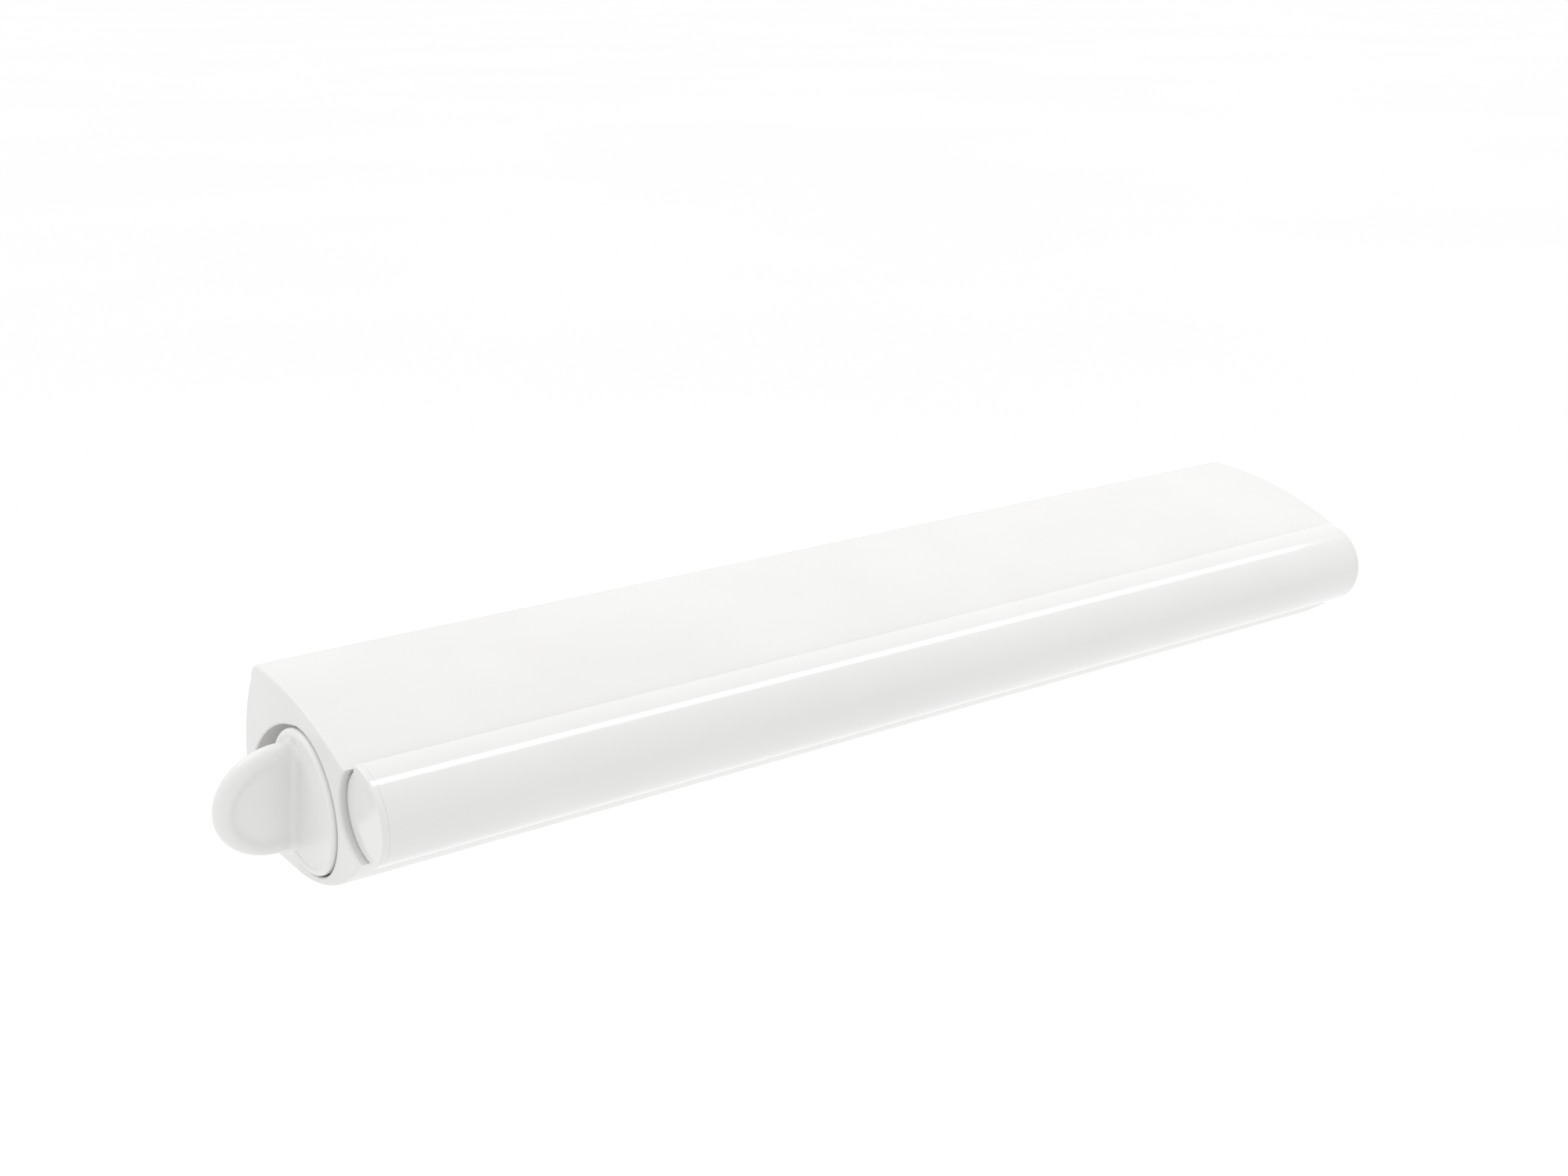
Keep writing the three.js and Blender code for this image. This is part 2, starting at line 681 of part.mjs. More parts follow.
// Coil behind the disc that pushes the knob back out.
function knobSpring() {
  const [x0, x1] = [-knobBackX + 1.2, -floorOuterX - 1.2];
  const turns = 3;
  const wire = 0.6;
  class Coil extends THREE.Curve {
    getPoint(t) {
      const p = polar(sleeveFlange - 1, 360 * turns * t);
      return new THREE.Vector3(x0 + (x1 - x0) * t, p.x, p.y);
    }
  }
  return sweep(new Coil(), wire, turns * 12, 5);
}

// The pawl is drawn engaged, with its nose behind a tooth, then swung clear to its rest place.
const contactAngle = 2.5;
const pawlPivot = at(30, 22);

function pawl() {
  const hub = 4;
  const nose = contactAngle + 3.6;
  const outline = [
    polar(ratchetRadius - ratchetDepth + 0.7, nose),
    polar(ratchetRadius + 1.6, nose),
    polar(hub, -10, pawlPivot),
    polar(hub, 35, pawlPivot),
    polar(hub, 80, pawlPivot),
    polar(hub, 125, pawlPivot),
    polar(hub, 170, pawlPivot),
    polar(ratchetRadius + 0.4, nose + 7),
  ];
  const middleX = -(ratchetInnerX + ratchetOuterX) / 2;
  const body = prism(outline, middleX - pawlWidth / 2, middleX + pawlWidth / 2);
  const hole = moved(rod(-ratchetOuterX - 2, -ratchetInnerX + 2, pinRadius + fitGap, 12), pawlPivot.x, pawlPivot.y);
  return moved(moved(body.subtract(hole), -pawlPivot.x, -pawlPivot.y).rotate([pawlSwing, 0, 0]),
    pawlPivot.x, pawlPivot.y);
}

const pawlPin = () => moved(rod(-ratchetOuterX - 1.5, -plateInnerX - 0.5, pinRadius, 12), pawlPivot.x, pawlPivot.y);

// Hairpin of spring wire between the bearing plate and the pawl's hub.
function pawlSpring() {
  const x = -ratchetOuterX - 0.9;
  const route = [polar(3.2, 200, pawlPivot), polar(3.2, 110, pawlPivot), polar(3.2, 20, pawlPivot),
    at(pawlPivot.x + 8, pawlPivot.y - 6), at(axisToWall - 13, pawlPivot.y - 14)];
  const curve = new THREE.CatmullRomCurve3(route.map((p) => new THREE.Vector3(x, p.x, p.y)));
  return sweep(curve, 0.45, 14, 6);
}

// ---------------------------------------------------------------- pull bar

const barFront = at(hollow.centre.x + 6.7, hollow.centre.y - 1.8);
const barRearRadius = hollow.radius - barGap;
const barX0 = -halfCase + barSetbackLeft;
const barX1 = halfCase - barSetbackRight;
const barShellX0 = barX0 + barCapPlate + fitGap;
const barShellX1 = barX1 - barCapPlate - fitGap;
const leadEndY = hollowDeep.x - 8.6;

const barArc = (radius) => arcThrough(polar(radius, 80.8, barFront), polar(radius, 165, barFront),
  polar(radius, 250, barFront), 20);
const backArc = (radius) => arcThrough(polar(radius, -84, hollow.centre), polar(radius, -15, hollow.centre),
  polar(radius, 54, hollow.centre), 16);

function barShell() {
  return prism([...barArc(barRadius), ...barArc(barRadius - barWall).reverse()], barShellX0, barShellX1);
}

const hookXs = [barX0 + hookInset, barX1 - hookInset];

function barBack() {
  let back = prism([...backArc(barRearRadius), ...backArc(barRearRadius - barBackWall).reverse()],
    barShellX0, barShellX1);
  for (let i = 0; i < lineCount; i += 1) {
    const hole = rod(-12, 12, eyeletBore, smallSteps).rotate([0, 0, 90]);
    back = back.subtract(hole.translate([lineX(i), hollowDeep.x, lineHeight]));
  }
  for (const x of hookXs) {
    const [half, rise] = [hookSlotWidth / 2 + 2, hookSlotHeight / 2 + 1.5];
    back = back.subtract(block(x - half, x + half, hollowDeep.x - 8, hollowDeep.x + 2,
      lineHeight - rise, lineHeight + rise));
  }
  return back;
}

const barOutline = [...barArc(barRadius), ...backArc(barRearRadius)];

function barCap(x0, x1, inward) {
  const plug = prism(inset(barOutline, barWall + fitGap), inward > 0 ? x1 - 0.5 : x0 - 3, inward > 0 ? x1 + 3 : x0 + 0.5);
  return prism(barOutline, x0, x1).add(plug);
}

// Steel plate behind each slot of the bar, which hangs on a hook of the far wall.
function hookPlate(x) {
  const rise = 6;
  const sag = barRearRadius - barBackWall;
  const reach = rise + hookSeatRoom + Math.abs(lineHeight - hollow.centre.y);
  const y = hollow.centre.x + Math.sqrt(sag ** 2 - reach ** 2) - fitGap;
  const plate = block(x - 12, x + 12, y - 1.5, y, lineHeight - rise, lineHeight + rise);
  const [half, slotRise] = [hookSlotWidth / 2, hookSlotHeight / 2];
  return plate.subtract(block(x - half, x + half, y - 3, y + 1, lineHeight - slotRise, lineHeight + slotRise));
}

// Bead crimped on the end of each line, behind the bar's back plate.
function lineAnchor(i) {
  const back = hollow.centre.x + barRearRadius - barBackWall - fitGap - 0.2;
  const bead = turnedRing([
    [back, lineDiameter / 2 + fitGap],
    [back, 3],
    [back - 1, 3.8],
    [back - 4, 3.8],
    [back - 5, 3],
    [back - 5, lineDiameter / 2 + fitGap],
  ], smallSteps);
  return bead.rotate([0, 0, 90]).translate([lineX(i), 0, lineHeight]);
}

// ---------------------------------------------------------------- materials and assembly

function finish(color, roughness, metalness = 0) {
  return new THREE.MeshStandardMaterial({ color, roughness, metalness });
}

const satinWhite = finish(0xf1f1ef, 0.32);
const glossWhite = finish(0xf4f4f3, 0.14);
const knobWhite = finish(0xefefed, 0.28);
const greyPlastic = finish(0x8d9297, 0.5);
const bearingPlastic = finish(0xd9d4c4, 0.4);
const lineWhite = finish(0xeeeeea, 0.45);
const zincSteel = finish(0xb9bcc0, 0.35, 0.9);
const springSteel = finish(0x6d7075, 0.3, 0.9);
const drawnAluminium = finish(0xc4c7ca, 0.35, 0.9);

const part = new THREE.Group();
const works = new THREE.Group();
works.position.set(0, -axisToWall, -(wallFaceTop + wallFaceBottom) / 2);
part.add(works);

function addGroup() {
  const group = new THREE.Group();
  works.add(group);
  return group;
}

function addMesh(group, name, body, material) {
  const { numProp, vertProperties, triVerts } = body.getMesh();
  const geometry = new THREE.BufferGeometry();
  const positions = new Float32Array((vertProperties.length / numProp) * 3);
  for (let i = 0; i < positions.length / 3; i += 1) {
    positions.set(vertProperties.subarray(i * numProp, i * numProp + 3), i * 3);
  }
  geometry.setAttribute('position', new THREE.BufferAttribute(positions, 3));
  geometry.setIndex(new THREE.BufferAttribute(Uint32Array.from(triVerts), 1));
  geometry.computeVertexNormals();
  const mesh = new THREE.Mesh(geometry, material);
  mesh.name = name;
  group.add(mesh);
}

const housing = addGroup();
addMesh(housing, 'front_shell', frontShell(), satinWhite);
addMesh(housing, 'rear_shell', rearShell(), satinWhite);
addMesh(housing, 'end_cap_left', endCapLeft(), satinWhite);
addMesh(housing, 'end_cap_right', endCapRight(), satinWhite);
addMesh(housing, 'bearing_plate_left', bearingPlateLeft(), greyPlastic);
addMesh(housing, 'bearing_plate_right', bearingPlateRight(), greyPlastic);
addMesh(housing, 'bush_left', bush(-1), bearingPlastic);
addMesh(housing, 'bush_right', bush(1), bearingPlastic);
addMesh(housing, 'spring_arbor', springArbor(), zincSteel);
addMesh(housing, 'wall_bracket_left', bracket(-bracketSpacing / 2), zincSteel);
addMesh(housing, 'wall_bracket_right', bracket(bracketSpacing / 2), zincSteel);
addMesh(housing, 'pawl_pin', pawlPin(), zincSteel);
addMesh(housing, 'pawl_spring', pawlSpring(), springSteel);
addMesh(housing, 'knob_spring', knobSpring(), springSteel);
leftPostAngles.forEach((angle, i) =>
  addMesh(housing, `cap_screw_left_${i + 1}`, screw(-1, -floorOuterX - fitGap, leftPost(angle)), zincSteel));
rightPosts.forEach((post, i) =>
  addMesh(housing, `cap_screw_right_${i + 1}`, screw(1, halfCase - 2 + fitGap, post), zincSteel));
for (let i = 0; i < lineCount; i += 1) {
  addMesh(housing, `line_eyelet_${i + 1}`, eyelet(lineX(i)), bearingPlastic);
  addMesh(housing, `line_lead_${i + 1}`, lead(i), lineWhite);
}

const drum = addGroup();
addMesh(drum, 'drum_tube', tube(-halfDrum, halfDrum, drumRadius - drumWall, drumRadius), drawnAluminium);
addMesh(drum, 'drum_plug_left', drumPlug(-1), greyPlastic);
addMesh(drum, 'drum_plug_right', drumPlug(1), greyPlastic);
for (let i = 1; i < lineCount; i += 1) {
  addMesh(drum, `drum_divider_${i}`, divider(i), greyPlastic);
}
for (let i = 0; i < lineCount; i += 1) {
  addMesh(drum, `line_winding_${i + 1}`, winding(i), lineWhite);
}
addMesh(drum, 'ratchet_wheel', ratchetWheel(), greyPlastic);
addMesh(drum, 'spring_cup', springCup(), greyPlastic);
addMesh(drum, 'power_spring', powerSpring(), springSteel);

const control = addGroup();
addMesh(control, 'knob', knob(), knobWhite);
addMesh(control, 'knob_spindle', spindle(), bearingPlastic);
addMesh(control, 'drive_dog', dogRing(), greyPlastic);
addMesh(control, 'knob_sleeve', knobSleeve(), bearingPlastic);
addMesh(control, 'pawl', pawl(), zincSteel);

const bar = addGroup();
addMesh(bar, 'bar_shell', barShell(), glossWhite);
addMesh(bar, 'bar_back', barBack(), glossWhite);
addMesh(bar, 'bar_cap_left', barCap(barX0, barX0 + barCapPlate, 1), glossWhite);
addMesh(bar, 'bar_cap_right', barCap(barX1 - barCapPlate, barX1, -1), glossWhite);
addMesh(bar, 'hook_plate_left', hookPlate(hookXs[0]), zincSteel);
addMesh(bar, 'hook_plate_right', hookPlate(hookXs[1]), zincSteel);
for (let i = 0; i < lineCount; i += 1) {
  addMesh(bar, `line_anchor_${i + 1}`, lineAnchor(i), greyPlastic);
}

export default part;
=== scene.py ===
# %% [markdown]
# # A retractable clothesline
#
# The object is a long white case that hangs on a wall. A sprung drum inside holds five lines,
# a pull bar nested in the front of the case carries their free ends, and a knob in the left end
# cap pulls them tight. This lesson takes the engineering model as a fixed frame and builds the
# smooth, finished surfaces around it, one piece at a time.

# %% Load the frame
import json
import math
import bmesh
import bpy
from mathutils import Matrix, Vector


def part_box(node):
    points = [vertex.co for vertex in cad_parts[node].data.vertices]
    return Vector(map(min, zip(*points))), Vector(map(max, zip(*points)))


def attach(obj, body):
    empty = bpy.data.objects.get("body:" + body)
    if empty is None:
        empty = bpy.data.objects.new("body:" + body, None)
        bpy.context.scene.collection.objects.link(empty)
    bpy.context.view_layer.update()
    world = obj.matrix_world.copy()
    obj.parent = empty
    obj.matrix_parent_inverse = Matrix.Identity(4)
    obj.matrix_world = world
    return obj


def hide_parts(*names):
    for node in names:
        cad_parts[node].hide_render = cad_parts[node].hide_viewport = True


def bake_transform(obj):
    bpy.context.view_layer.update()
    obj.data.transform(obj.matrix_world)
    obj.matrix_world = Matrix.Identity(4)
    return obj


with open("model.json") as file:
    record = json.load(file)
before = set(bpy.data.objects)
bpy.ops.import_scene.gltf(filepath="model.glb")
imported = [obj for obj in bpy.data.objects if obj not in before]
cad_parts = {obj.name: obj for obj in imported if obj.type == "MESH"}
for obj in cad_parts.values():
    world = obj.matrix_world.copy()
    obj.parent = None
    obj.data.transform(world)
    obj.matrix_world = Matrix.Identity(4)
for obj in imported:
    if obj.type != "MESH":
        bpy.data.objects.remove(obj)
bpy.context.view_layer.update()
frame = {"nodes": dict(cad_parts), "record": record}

# %% [markdown]
# ## Where things are
#
# Every size could be typed in again here, but then the two models could drift apart. Instead the
# main places are read from the frame's own boxes: the axis of the drum and knob, the two ends of
# the case, and the line's height. Section points are written as (y, z) from the drum axis.

# %% Places read from the frame
MM = 0.001


def middle(node):
    low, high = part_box(node)
    return (low + high) / 2


axis = middle("knob_spindle")
cap_low, cap_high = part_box("end_cap_left")
case_left = cap_low.x
case_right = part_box("end_cap_right")[1].x
line_z = middle("line_eyelet_1").z - axis.z
line_xs = [middle(f"line_lead_{i}").x for i in range(1, 6)]
deep_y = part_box("line_eyelet_1")[0].y - axis.y - 0.1 * MM


def works(x, y, z):
    return Vector((x, axis.y + y, axis.z + z))


print("case length", round((case_right - case_left) / MM, 1), "mm, lines at",
      [round(x / MM) for x in line_xs])

# %% [markdown]
# ## Drawing an outline
#
# Most pieces here start as an outline of straight strokes and arcs. The points could be listed by
# hand, but a pen is easier to read: extruding one vertex draws a stroke, and spinning it round a
# centre draws a true arc. The pen works in any plane that it is given.


# %% A pen for outlines
def circle_through(a, b, c):
    d = 2 * (a[0] * (b[1] - c[1]) + b[0] * (c[1] - a[1]) + c[0] * (a[1] - b[1]))
    sa, sb, sc = (p[0] ** 2 + p[1] ** 2 for p in (a, b, c))
    x = (sa * (b[1] - c[1]) + sb * (c[1] - a[1]) + sc * (a[1] - b[1])) / d
    y = (sa * (c[0] - b[0]) + sb * (a[0] - c[0]) + sc * (b[0] - a[0])) / d
    return (x, y), math.hypot(a[0] - x, a[1] - y)


def polar(centre, radius, degrees):
    angle = math.radians(degrees)
    return (centre[0] + radius * math.cos(angle), centre[1] + radius * math.sin(angle))


class Pen:
    """Draws in the plane given by place(u, v), whose normal is the way u turns to v."""

    def __init__(self, place, normal, start):
        self.bm = bmesh.new()
        self.place = place
        self.normal = normal
        self.at = start
        self.tip = self.bm.verts.new(place(*start))

    def line(self, to):
        made = bmesh.ops.extrude_vert_indiv(self.bm, verts=[self.tip])
        self.tip = made["verts"][0]
        self.tip.co = self.place(*to)
        self.at = to
        return self

    def arc(self, via, to, steps):
        centre, _ = circle_through(self.at, via, to)
        bearing = [math.atan2(p[1] - centre[1], p[0] - centre[0]) for p in (self.at, via, to)]
        past, sweep = ((b - bearing[0]) % (2 * math.pi) for b in bearing[1:])
        if past > sweep:
            sweep -= 2 * math.pi
        made = bmesh.ops.spin(self.bm, geom=[self.tip], cent=self.place(*centre),
                              axis=self.normal, dvec=(0, 0, 0), angle=sweep, steps=steps,
                              use_merge=False, use_duplicate=False)
        self.tip = made["geom_last"][0]
        self.at = to
        return self

    def face(self):
        bmesh.ops.remove_doubles(self.bm, verts=self.bm.verts[:], dist=0.01 * MM)
        bmesh.ops.contextual_create(self.bm, geom=self.bm.edges[:])
        return self.bm


def section_pen(x, start):
    return Pen(lambda y, z: works(x, y, z), (1, 0, 0), start)


def turning_pen(start, y=0, z=0):
    return Pen(lambda x, r: works(x, y + r, z), (0, 0, 1), start)


# %% [markdown]
# ## From outline to solid
#
# Four small moves do nearly all the work: push a face along to give it depth, turn a profile about
# an axis, round chosen edges with a bevel, and cut one solid with another. A cut could be modelled
# by hand with loops, but a Boolean keeps the holes exact and is applied straight away.


# %% Moves that make solids
def push(bm, depth):
    made = bmesh.ops.extrude_face_region(bm, geom=bm.faces[:])
    verts = [g for g in made["geom"] if isinstance(g, bmesh.types.BMVert)]
    bmesh.ops.translate(bm, verts=verts, vec=depth)
    bmesh.ops.recalc_face_normals(bm, faces=bm.faces[:])
    return bm


def turn(bm, centre, about=(1, 0, 0), steps=64):
    bmesh.ops.spin(bm, geom=bm.verts[:] + bm.edges[:], cent=centre, axis=about, dvec=(0, 0, 0),
                   angle=2 * math.pi, steps=steps, use_merge=True, use_duplicate=False)
    bmesh.ops.remove_doubles(bm, verts=bm.verts[:], dist=0.005 * MM)
    bmesh.ops.recalc_face_normals(bm, faces=bm.faces[:])
    return bm


def round_edges(bm, edges, radius, segments=4):
    bmesh.ops.bevel(bm, geom=edges, offset=radius, offset_type="OFFSET", segments=segments,
                    profile=0.5, affect="EDGES", material=-1, clamp_overlap=False)
    return bm


def rim_at(bm, x, least=50):
    """Edges in the plane x where the surface turns by more than a number of degrees."""
    return [e for e in bm.edges if all(abs(v.co.x - x) < 0.02 * MM for v in e.verts)
            and len(e.link_faces) == 2 and e.calc_face_angle(0) > math.radians(least)]


def to_object(bm, name):
    mesh = bpy.data.meshes.new(name)
    bm.to_mesh(mesh)
    bm.free()
    piece = bpy.data.objects.new(name, mesh)
    bpy.context.scene.collection.objects.link(piece)
    return piece


def cut(bm, tools, how="DIFFERENCE"):
    """Cuts the solid by each tool (or joins it to them) and gives back the new mesh."""
    body = to_object(bm, "body")
    for number, tool in enumerate(tools):
        other = to_object(tool, f"tool_{number}")
        step = body.modifiers.new("cut", "BOOLEAN")
        step.operation = how
        step.solver = "EXACT"
        step.object = other
        bpy.context.view_layer.update()
        view = bpy.context.evaluated_depsgraph_get()
        result = bpy.data.meshes.new_from_object(body.evaluated_get(view))
        body.modifiers.clear()
        body.data = result
        bpy.data.objects.remove(other)
    bm = bmesh.new()
    bm.from_mesh(body.data)
    bpy.data.objects.remove(body)
    bmesh.ops.remove_doubles(bm, verts=bm.verts[:], dist=0.002 * MM)
    return bm


def rod(centre, radius, depth, along="X", segments=48, radius_far=None):
    """A round cutter or boss, centred on a point and lying along X or Y."""
    bm = bmesh.new()
    lay = Matrix.Rotation(math.radians(90), 4, "Y" if along == "X" else "X")
    bmesh.ops.create_cone(bm, cap_ends=True, segments=segments, radius1=radius,
                          radius2=radius if radius_far is None else radius_far, depth=depth,
                          matrix=Matrix.Translation(centre) @ lay)
    return bm


def block(low, high, rounding=0):
    """A box between two corners, its edges rounded if asked."""
    bm = bmesh.new()
    low, high = Vector(low), Vector(high)
    size = Matrix.Diagonal((*(high - low), 1))
    bmesh.ops.create_cube(bm, size=1, matrix=Matrix.Translation((low + high) / 2) @ size)
    if rounding:
        round_edges(bm, bm.edges[:], rounding, 3)
    return bm


def add_shell(bm, other):
    """Puts a second closed shell into the same mesh."""
    mesh = bpy.data.meshes.new("shell")
    other.to_mesh(mesh)
    other.free()
    bm.from_mesh(mesh)
    bpy.data.meshes.remove(mesh)
    return bm


# %% [markdown]
# ## Finishes
#
# The object is nearly all white plastic, so the finishes differ by gloss rather than by colour: a
# satin case, a glossy bar and a half-gloss knob. A single flat colour would look like paper, so
# each finish lets the tint and the roughness wander a little and adds the faint orange-peel
# waviness that a moulded surface has. All patterns read object coordinates.


# %% A maker of finishes
def new_finish(name):
    made = bpy.data.materials.new(name)
    made.use_nodes = True
    nodes = made.node_tree.nodes
    return made, nodes, made.node_tree.links, nodes["Principled BSDF"]


def noise(nodes, links, scale, detail=2, stretch=(1, 1, 1)):
    place = nodes.new("ShaderNodeTexCoord")
    mapping = nodes.new("ShaderNodeMapping")
    mapping.inputs["Scale"].default_value = stretch
    links.new(place.outputs["Object"], mapping.inputs["Vector"])
    made = nodes.new("ShaderNodeTexNoise")
    made.inputs["Scale"].default_value = scale
    made.inputs["Detail"].default_value = detail
    links.new(mapping.outputs["Vector"], made.inputs["Vector"])
    return made.outputs["Fac"]


def spread(nodes, links, source, low, high):
    made = nodes.new("ShaderNodeMapRange")
    made.inputs["From Min"].default_value = 0.3
    made.inputs["From Max"].default_value = 0.7
    made.inputs["To Min"].default_value = low
    made.inputs["To Max"].default_value = high
    links.new(source, made.inputs["Value"])
    return made.outputs["Result"]


def tint(nodes, links, source, one, other):
    made = nodes.new("ShaderNodeValToRGB")
    made.color_ramp.elements[0].position = 0.35
    made.color_ramp.elements[1].position = 0.65
    made.color_ramp.elements[0].color = (*one, 1)
    made.color_ramp.elements[1].color = (*other, 1)
    links.new(source, made.inputs["Fac"])
    return made.outputs["Color"]


def moulded(name, one, other, rough, peel, peel_scale=900, grain=0.0, coat=0.0):
    """Moulded plastic: two near tints, a roughness range and two sizes of surface waviness."""
    made, nodes, links, shader = new_finish(name)
    links.new(tint(nodes, links, noise(nodes, links, 22), one, other),
              shader.inputs["Base Color"])
    links.new(spread(nodes, links, noise(nodes, links, 60, 3), *rough),
              shader.inputs["Roughness"])
    fine = nodes.new("ShaderNodeBump")
    fine.inputs["Strength"].default_value = grain
    fine.inputs["Distance"].default_value = 0.02 * MM
    links.new(noise(nodes, links, 9000, 1), fine.inputs["Height"])
    wavy = nodes.new("ShaderNodeBump")
    wavy.inputs["Strength"].default_value = peel
    wavy.inputs["Distance"].default_value = 0.05 * MM
    links.new(noise(nodes, links, peel_scale, 2), wavy.inputs["Height"])
    links.new(fine.outputs["Normal"], wavy.inputs["Normal"])
    links.new(wavy.outputs["Normal"], shader.inputs["Normal"])
    shader.inputs["IOR"].default_value = 1.52
    shader.inputs["Coat Weight"].default_value = coat
    shader.inputs["Coat Roughness"].default_value = 0.04
    return made


def metal(name, one, other, rough, stretch):
    """Bare or plated metal with a brushed direction."""
    made, nodes, links, shader = new_finish(name)
    shader.inputs["Metallic"].default_value = 1
    brushed = noise(nodes, links, 500, 4, stretch)
    links.new(tint(nodes, links, brushed, one, other), shader.inputs["Base Color"])
    links.new(spread(nodes, links, brushed, *rough), shader.inputs["Roughness"])
    bump = nodes.new("ShaderNodeBump")
    bump.inputs["Strength"].default_value = 0.12
    bump.inputs["Distance"].default_value = 0.02 * MM
    links.new(brushed, bump.inputs["Height"])
    links.new(bump.outputs["Normal"], shader.inputs["Normal"])
    return made


# %% The finishes of this object
case_white = moulded("satin_white_case", (0.715, 0.71, 0.702), (0.73, 0.727, 0.72),
                     (0.30, 0.36), 0.04, 500, grain=0.02)
bar_white = moulded("gloss_white_bar", (0.715, 0.712, 0.707), (0.73, 0.727, 0.722),
                    (0.10, 0.16), 0.03, 350, coat=0.5)
knob_white = moulded("half_gloss_white_knob", (0.74, 0.737, 0.73), (0.755, 0.752, 0.745),
                     (0.20, 0.26), 0.03, 500, grain=0.01)
works_grey = moulded("grey_works_plastic", (0.25, 0.27, 0.29), (0.3, 0.32, 0.34),
                     (0.42, 0.55), 0.12, 500, grain=0.2)
slip_plastic = moulded("off_white_slip_plastic", (0.66, 0.62, 0.52), (0.71, 0.67, 0.57),
                       (0.32, 0.42), 0.08, 600, grain=0.06)
line_coat = moulded("coated_line", (0.80, 0.80, 0.77), (0.86, 0.86, 0.83),
                    (0.35, 0.5), 0.35, 1500, grain=0.1)
zinc = metal("zinc_plate", (0.42, 0.44, 0.46), (0.54, 0.56, 0.58), (0.28, 0.42), (1, 8, 1))
spring_steel = metal("oiled_spring_steel", (0.13, 0.14, 0.15), (0.2, 0.21, 0.22),
                     (0.22, 0.34), (6, 1, 1))
drawn_tube = metal("drawn_aluminium", (0.52, 0.54, 0.56), (0.6, 0.61, 0.63),
                   (0.26, 0.38), (0.1, 6, 6))
print("finishes:", len(bpy.data.materials))

# %% [markdown]
# ## Handing a piece over
#
# A finished piece needs five things: smooth shading that stops at real corners, normals weighted
# so that big flat faces stay flat, its finish, the body that it moves with, and the plain CAD
# node that it takes the place of. One helper does all five, so no piece can miss one.


# %% Hand over a piece
def hand_over(bm, name, body, finish, nodes=(), corner=38):
    for face in bm.faces:
        face.smooth = True
    for edge in bm.edges:
        edge.smooth = edge.calc_face_angle(0) < math.radians(corner)
    piece = to_object(bm, name)
    piece.data.materials.clear()
    piece.data.materials.append(finish)
    flat = piece.modifiers.new("even_normals", "WEIGHTED_NORMAL")
    flat.keep_sharp = True
    if body:
        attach(piece, body)
    if nodes:
        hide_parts(*nodes)
    print(name, len(piece.data.polygons), "faces")
    return piece


# %% [markdown]
# ## The section of the case
#
# The case is one section run along its length: a belly that curves forward to a lip, a flat wall
# face, a gently crowned top, and a hollow in front that cradles the pull bar. The hollow, the nose
# above it and the lip below it set the look of the whole object, so they are driving points.

# %% Section points, from the drum axis
knob_radius = 26.8 * MM
shell_wall = 1.5 * MM
nose = (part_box("front_shell")[0].y - axis.y, 25 * MM)
lip = (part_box("rear_shell")[0].y - axis.y, -7 * MM)
deep = (deep_y, line_z)
hollow_centre, hollow_radius = circle_through(nose, deep, lip)
wall_y = -axis.y
wall_top = (wall_y, 2 * MM)
wall_foot = (wall_y, -29 * MM)
foot_corner = (wall_y - 4 * MM, -33 * MM)
belly_end = (18 * MM, -32.5 * MM)
belly = polar((0, 0), 30.7 * MM, 243)
rear_shoulder = (wall_y - 12 * MM, 33.8 * MM)
top_rear = (wall_y - 20.4 * MM, 39.9 * MM)
crown = (-1 * MM, 36.5 * MM)


def case_section(x):
    pen = section_pen(x, lip)
    pen.arc(belly, belly_end, 16)
    pen.line(foot_corner)
    pen.arc(polar((foot_corner[0], wall_foot[1]), 4 * MM, 315), wall_foot, 5)
    pen.line(wall_top)
    pen.arc((wall_y - 4.6 * MM, 19.5 * MM), rear_shoulder, 8)
    pen.arc((wall_y - 14.4 * MM, 38.2 * MM), top_rear, 5)
    pen.arc(crown, nose, 18)
    pen.arc(deep, lip, 10)
    return pen.face()


# %% [markdown]
# ## The two shells
#
# A front shell and a rear shell snap together along two seams. Each is a thin wall, so the section
# face is inset by the wall's thickness and only the ring between the two outlines is kept. A
# bisecting plane parts the ring at the seams before it is pushed out to length.

# %% Wall ring, parted at the seams
seam_low = (lip[0] + 12.3 * MM, lip[1] + 7 * MM)
run = Vector((rear_shoulder[0] - seam_low[0], rear_shoulder[1] - seam_low[1])).normalized()
seam_up = Vector((0, -run.y, run.x))
shell_end = case_right - 4.01 * MM


def shell_solid(side):
    bm = case_section(-shell_end)
    whole = bm.faces[:]
    bmesh.ops.inset_region(bm, faces=whole, thickness=shell_wall, use_even_offset=True,
                           use_boundary=True)
    bmesh.ops.delete(bm, geom=whole, context="FACES_ONLY")
    start = works(0, *seam_low) + seam_up * side * 0.08 * MM
    bmesh.ops.bisect_plane(bm, geom=bm.verts[:] + bm.edges[:] + bm.faces[:], dist=1e-7,
                           plane_co=start, plane_no=seam_up * side, clear_inner=True)
    bmesh.ops.delete(bm, geom=[v for v in bm.verts if not v.link_faces], context="VERTS")
    return push(bm, (2 * shell_end, 0, 0))


eyelet_radius = 3.6 * MM
line_holes = [rod(works(x, *deep), eyelet_radius + 0.1 * MM, 12 * MM, "Y") for x in line_xs]
front = cut(shell_solid(1), line_holes)
hand_over(front, "case_front", "housing", case_white, ["front_shell"])

bracket_boxes = [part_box("wall_bracket_left"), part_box("wall_bracket_right")]
windows = [block((low.x - 0.2 * MM, -3 * MM, middle_z - 10.9 * MM),
                 (high.x + 0.2 * MM, 1 * MM, middle_z + 10.9 * MM))
           for low, high in bracket_boxes for middle_z in [(low.z + high.z) / 2]]
rear = cut(shell_solid(-1), windows)
hand_over(rear, "case_rear", "housing", case_white, ["rear_shell"])

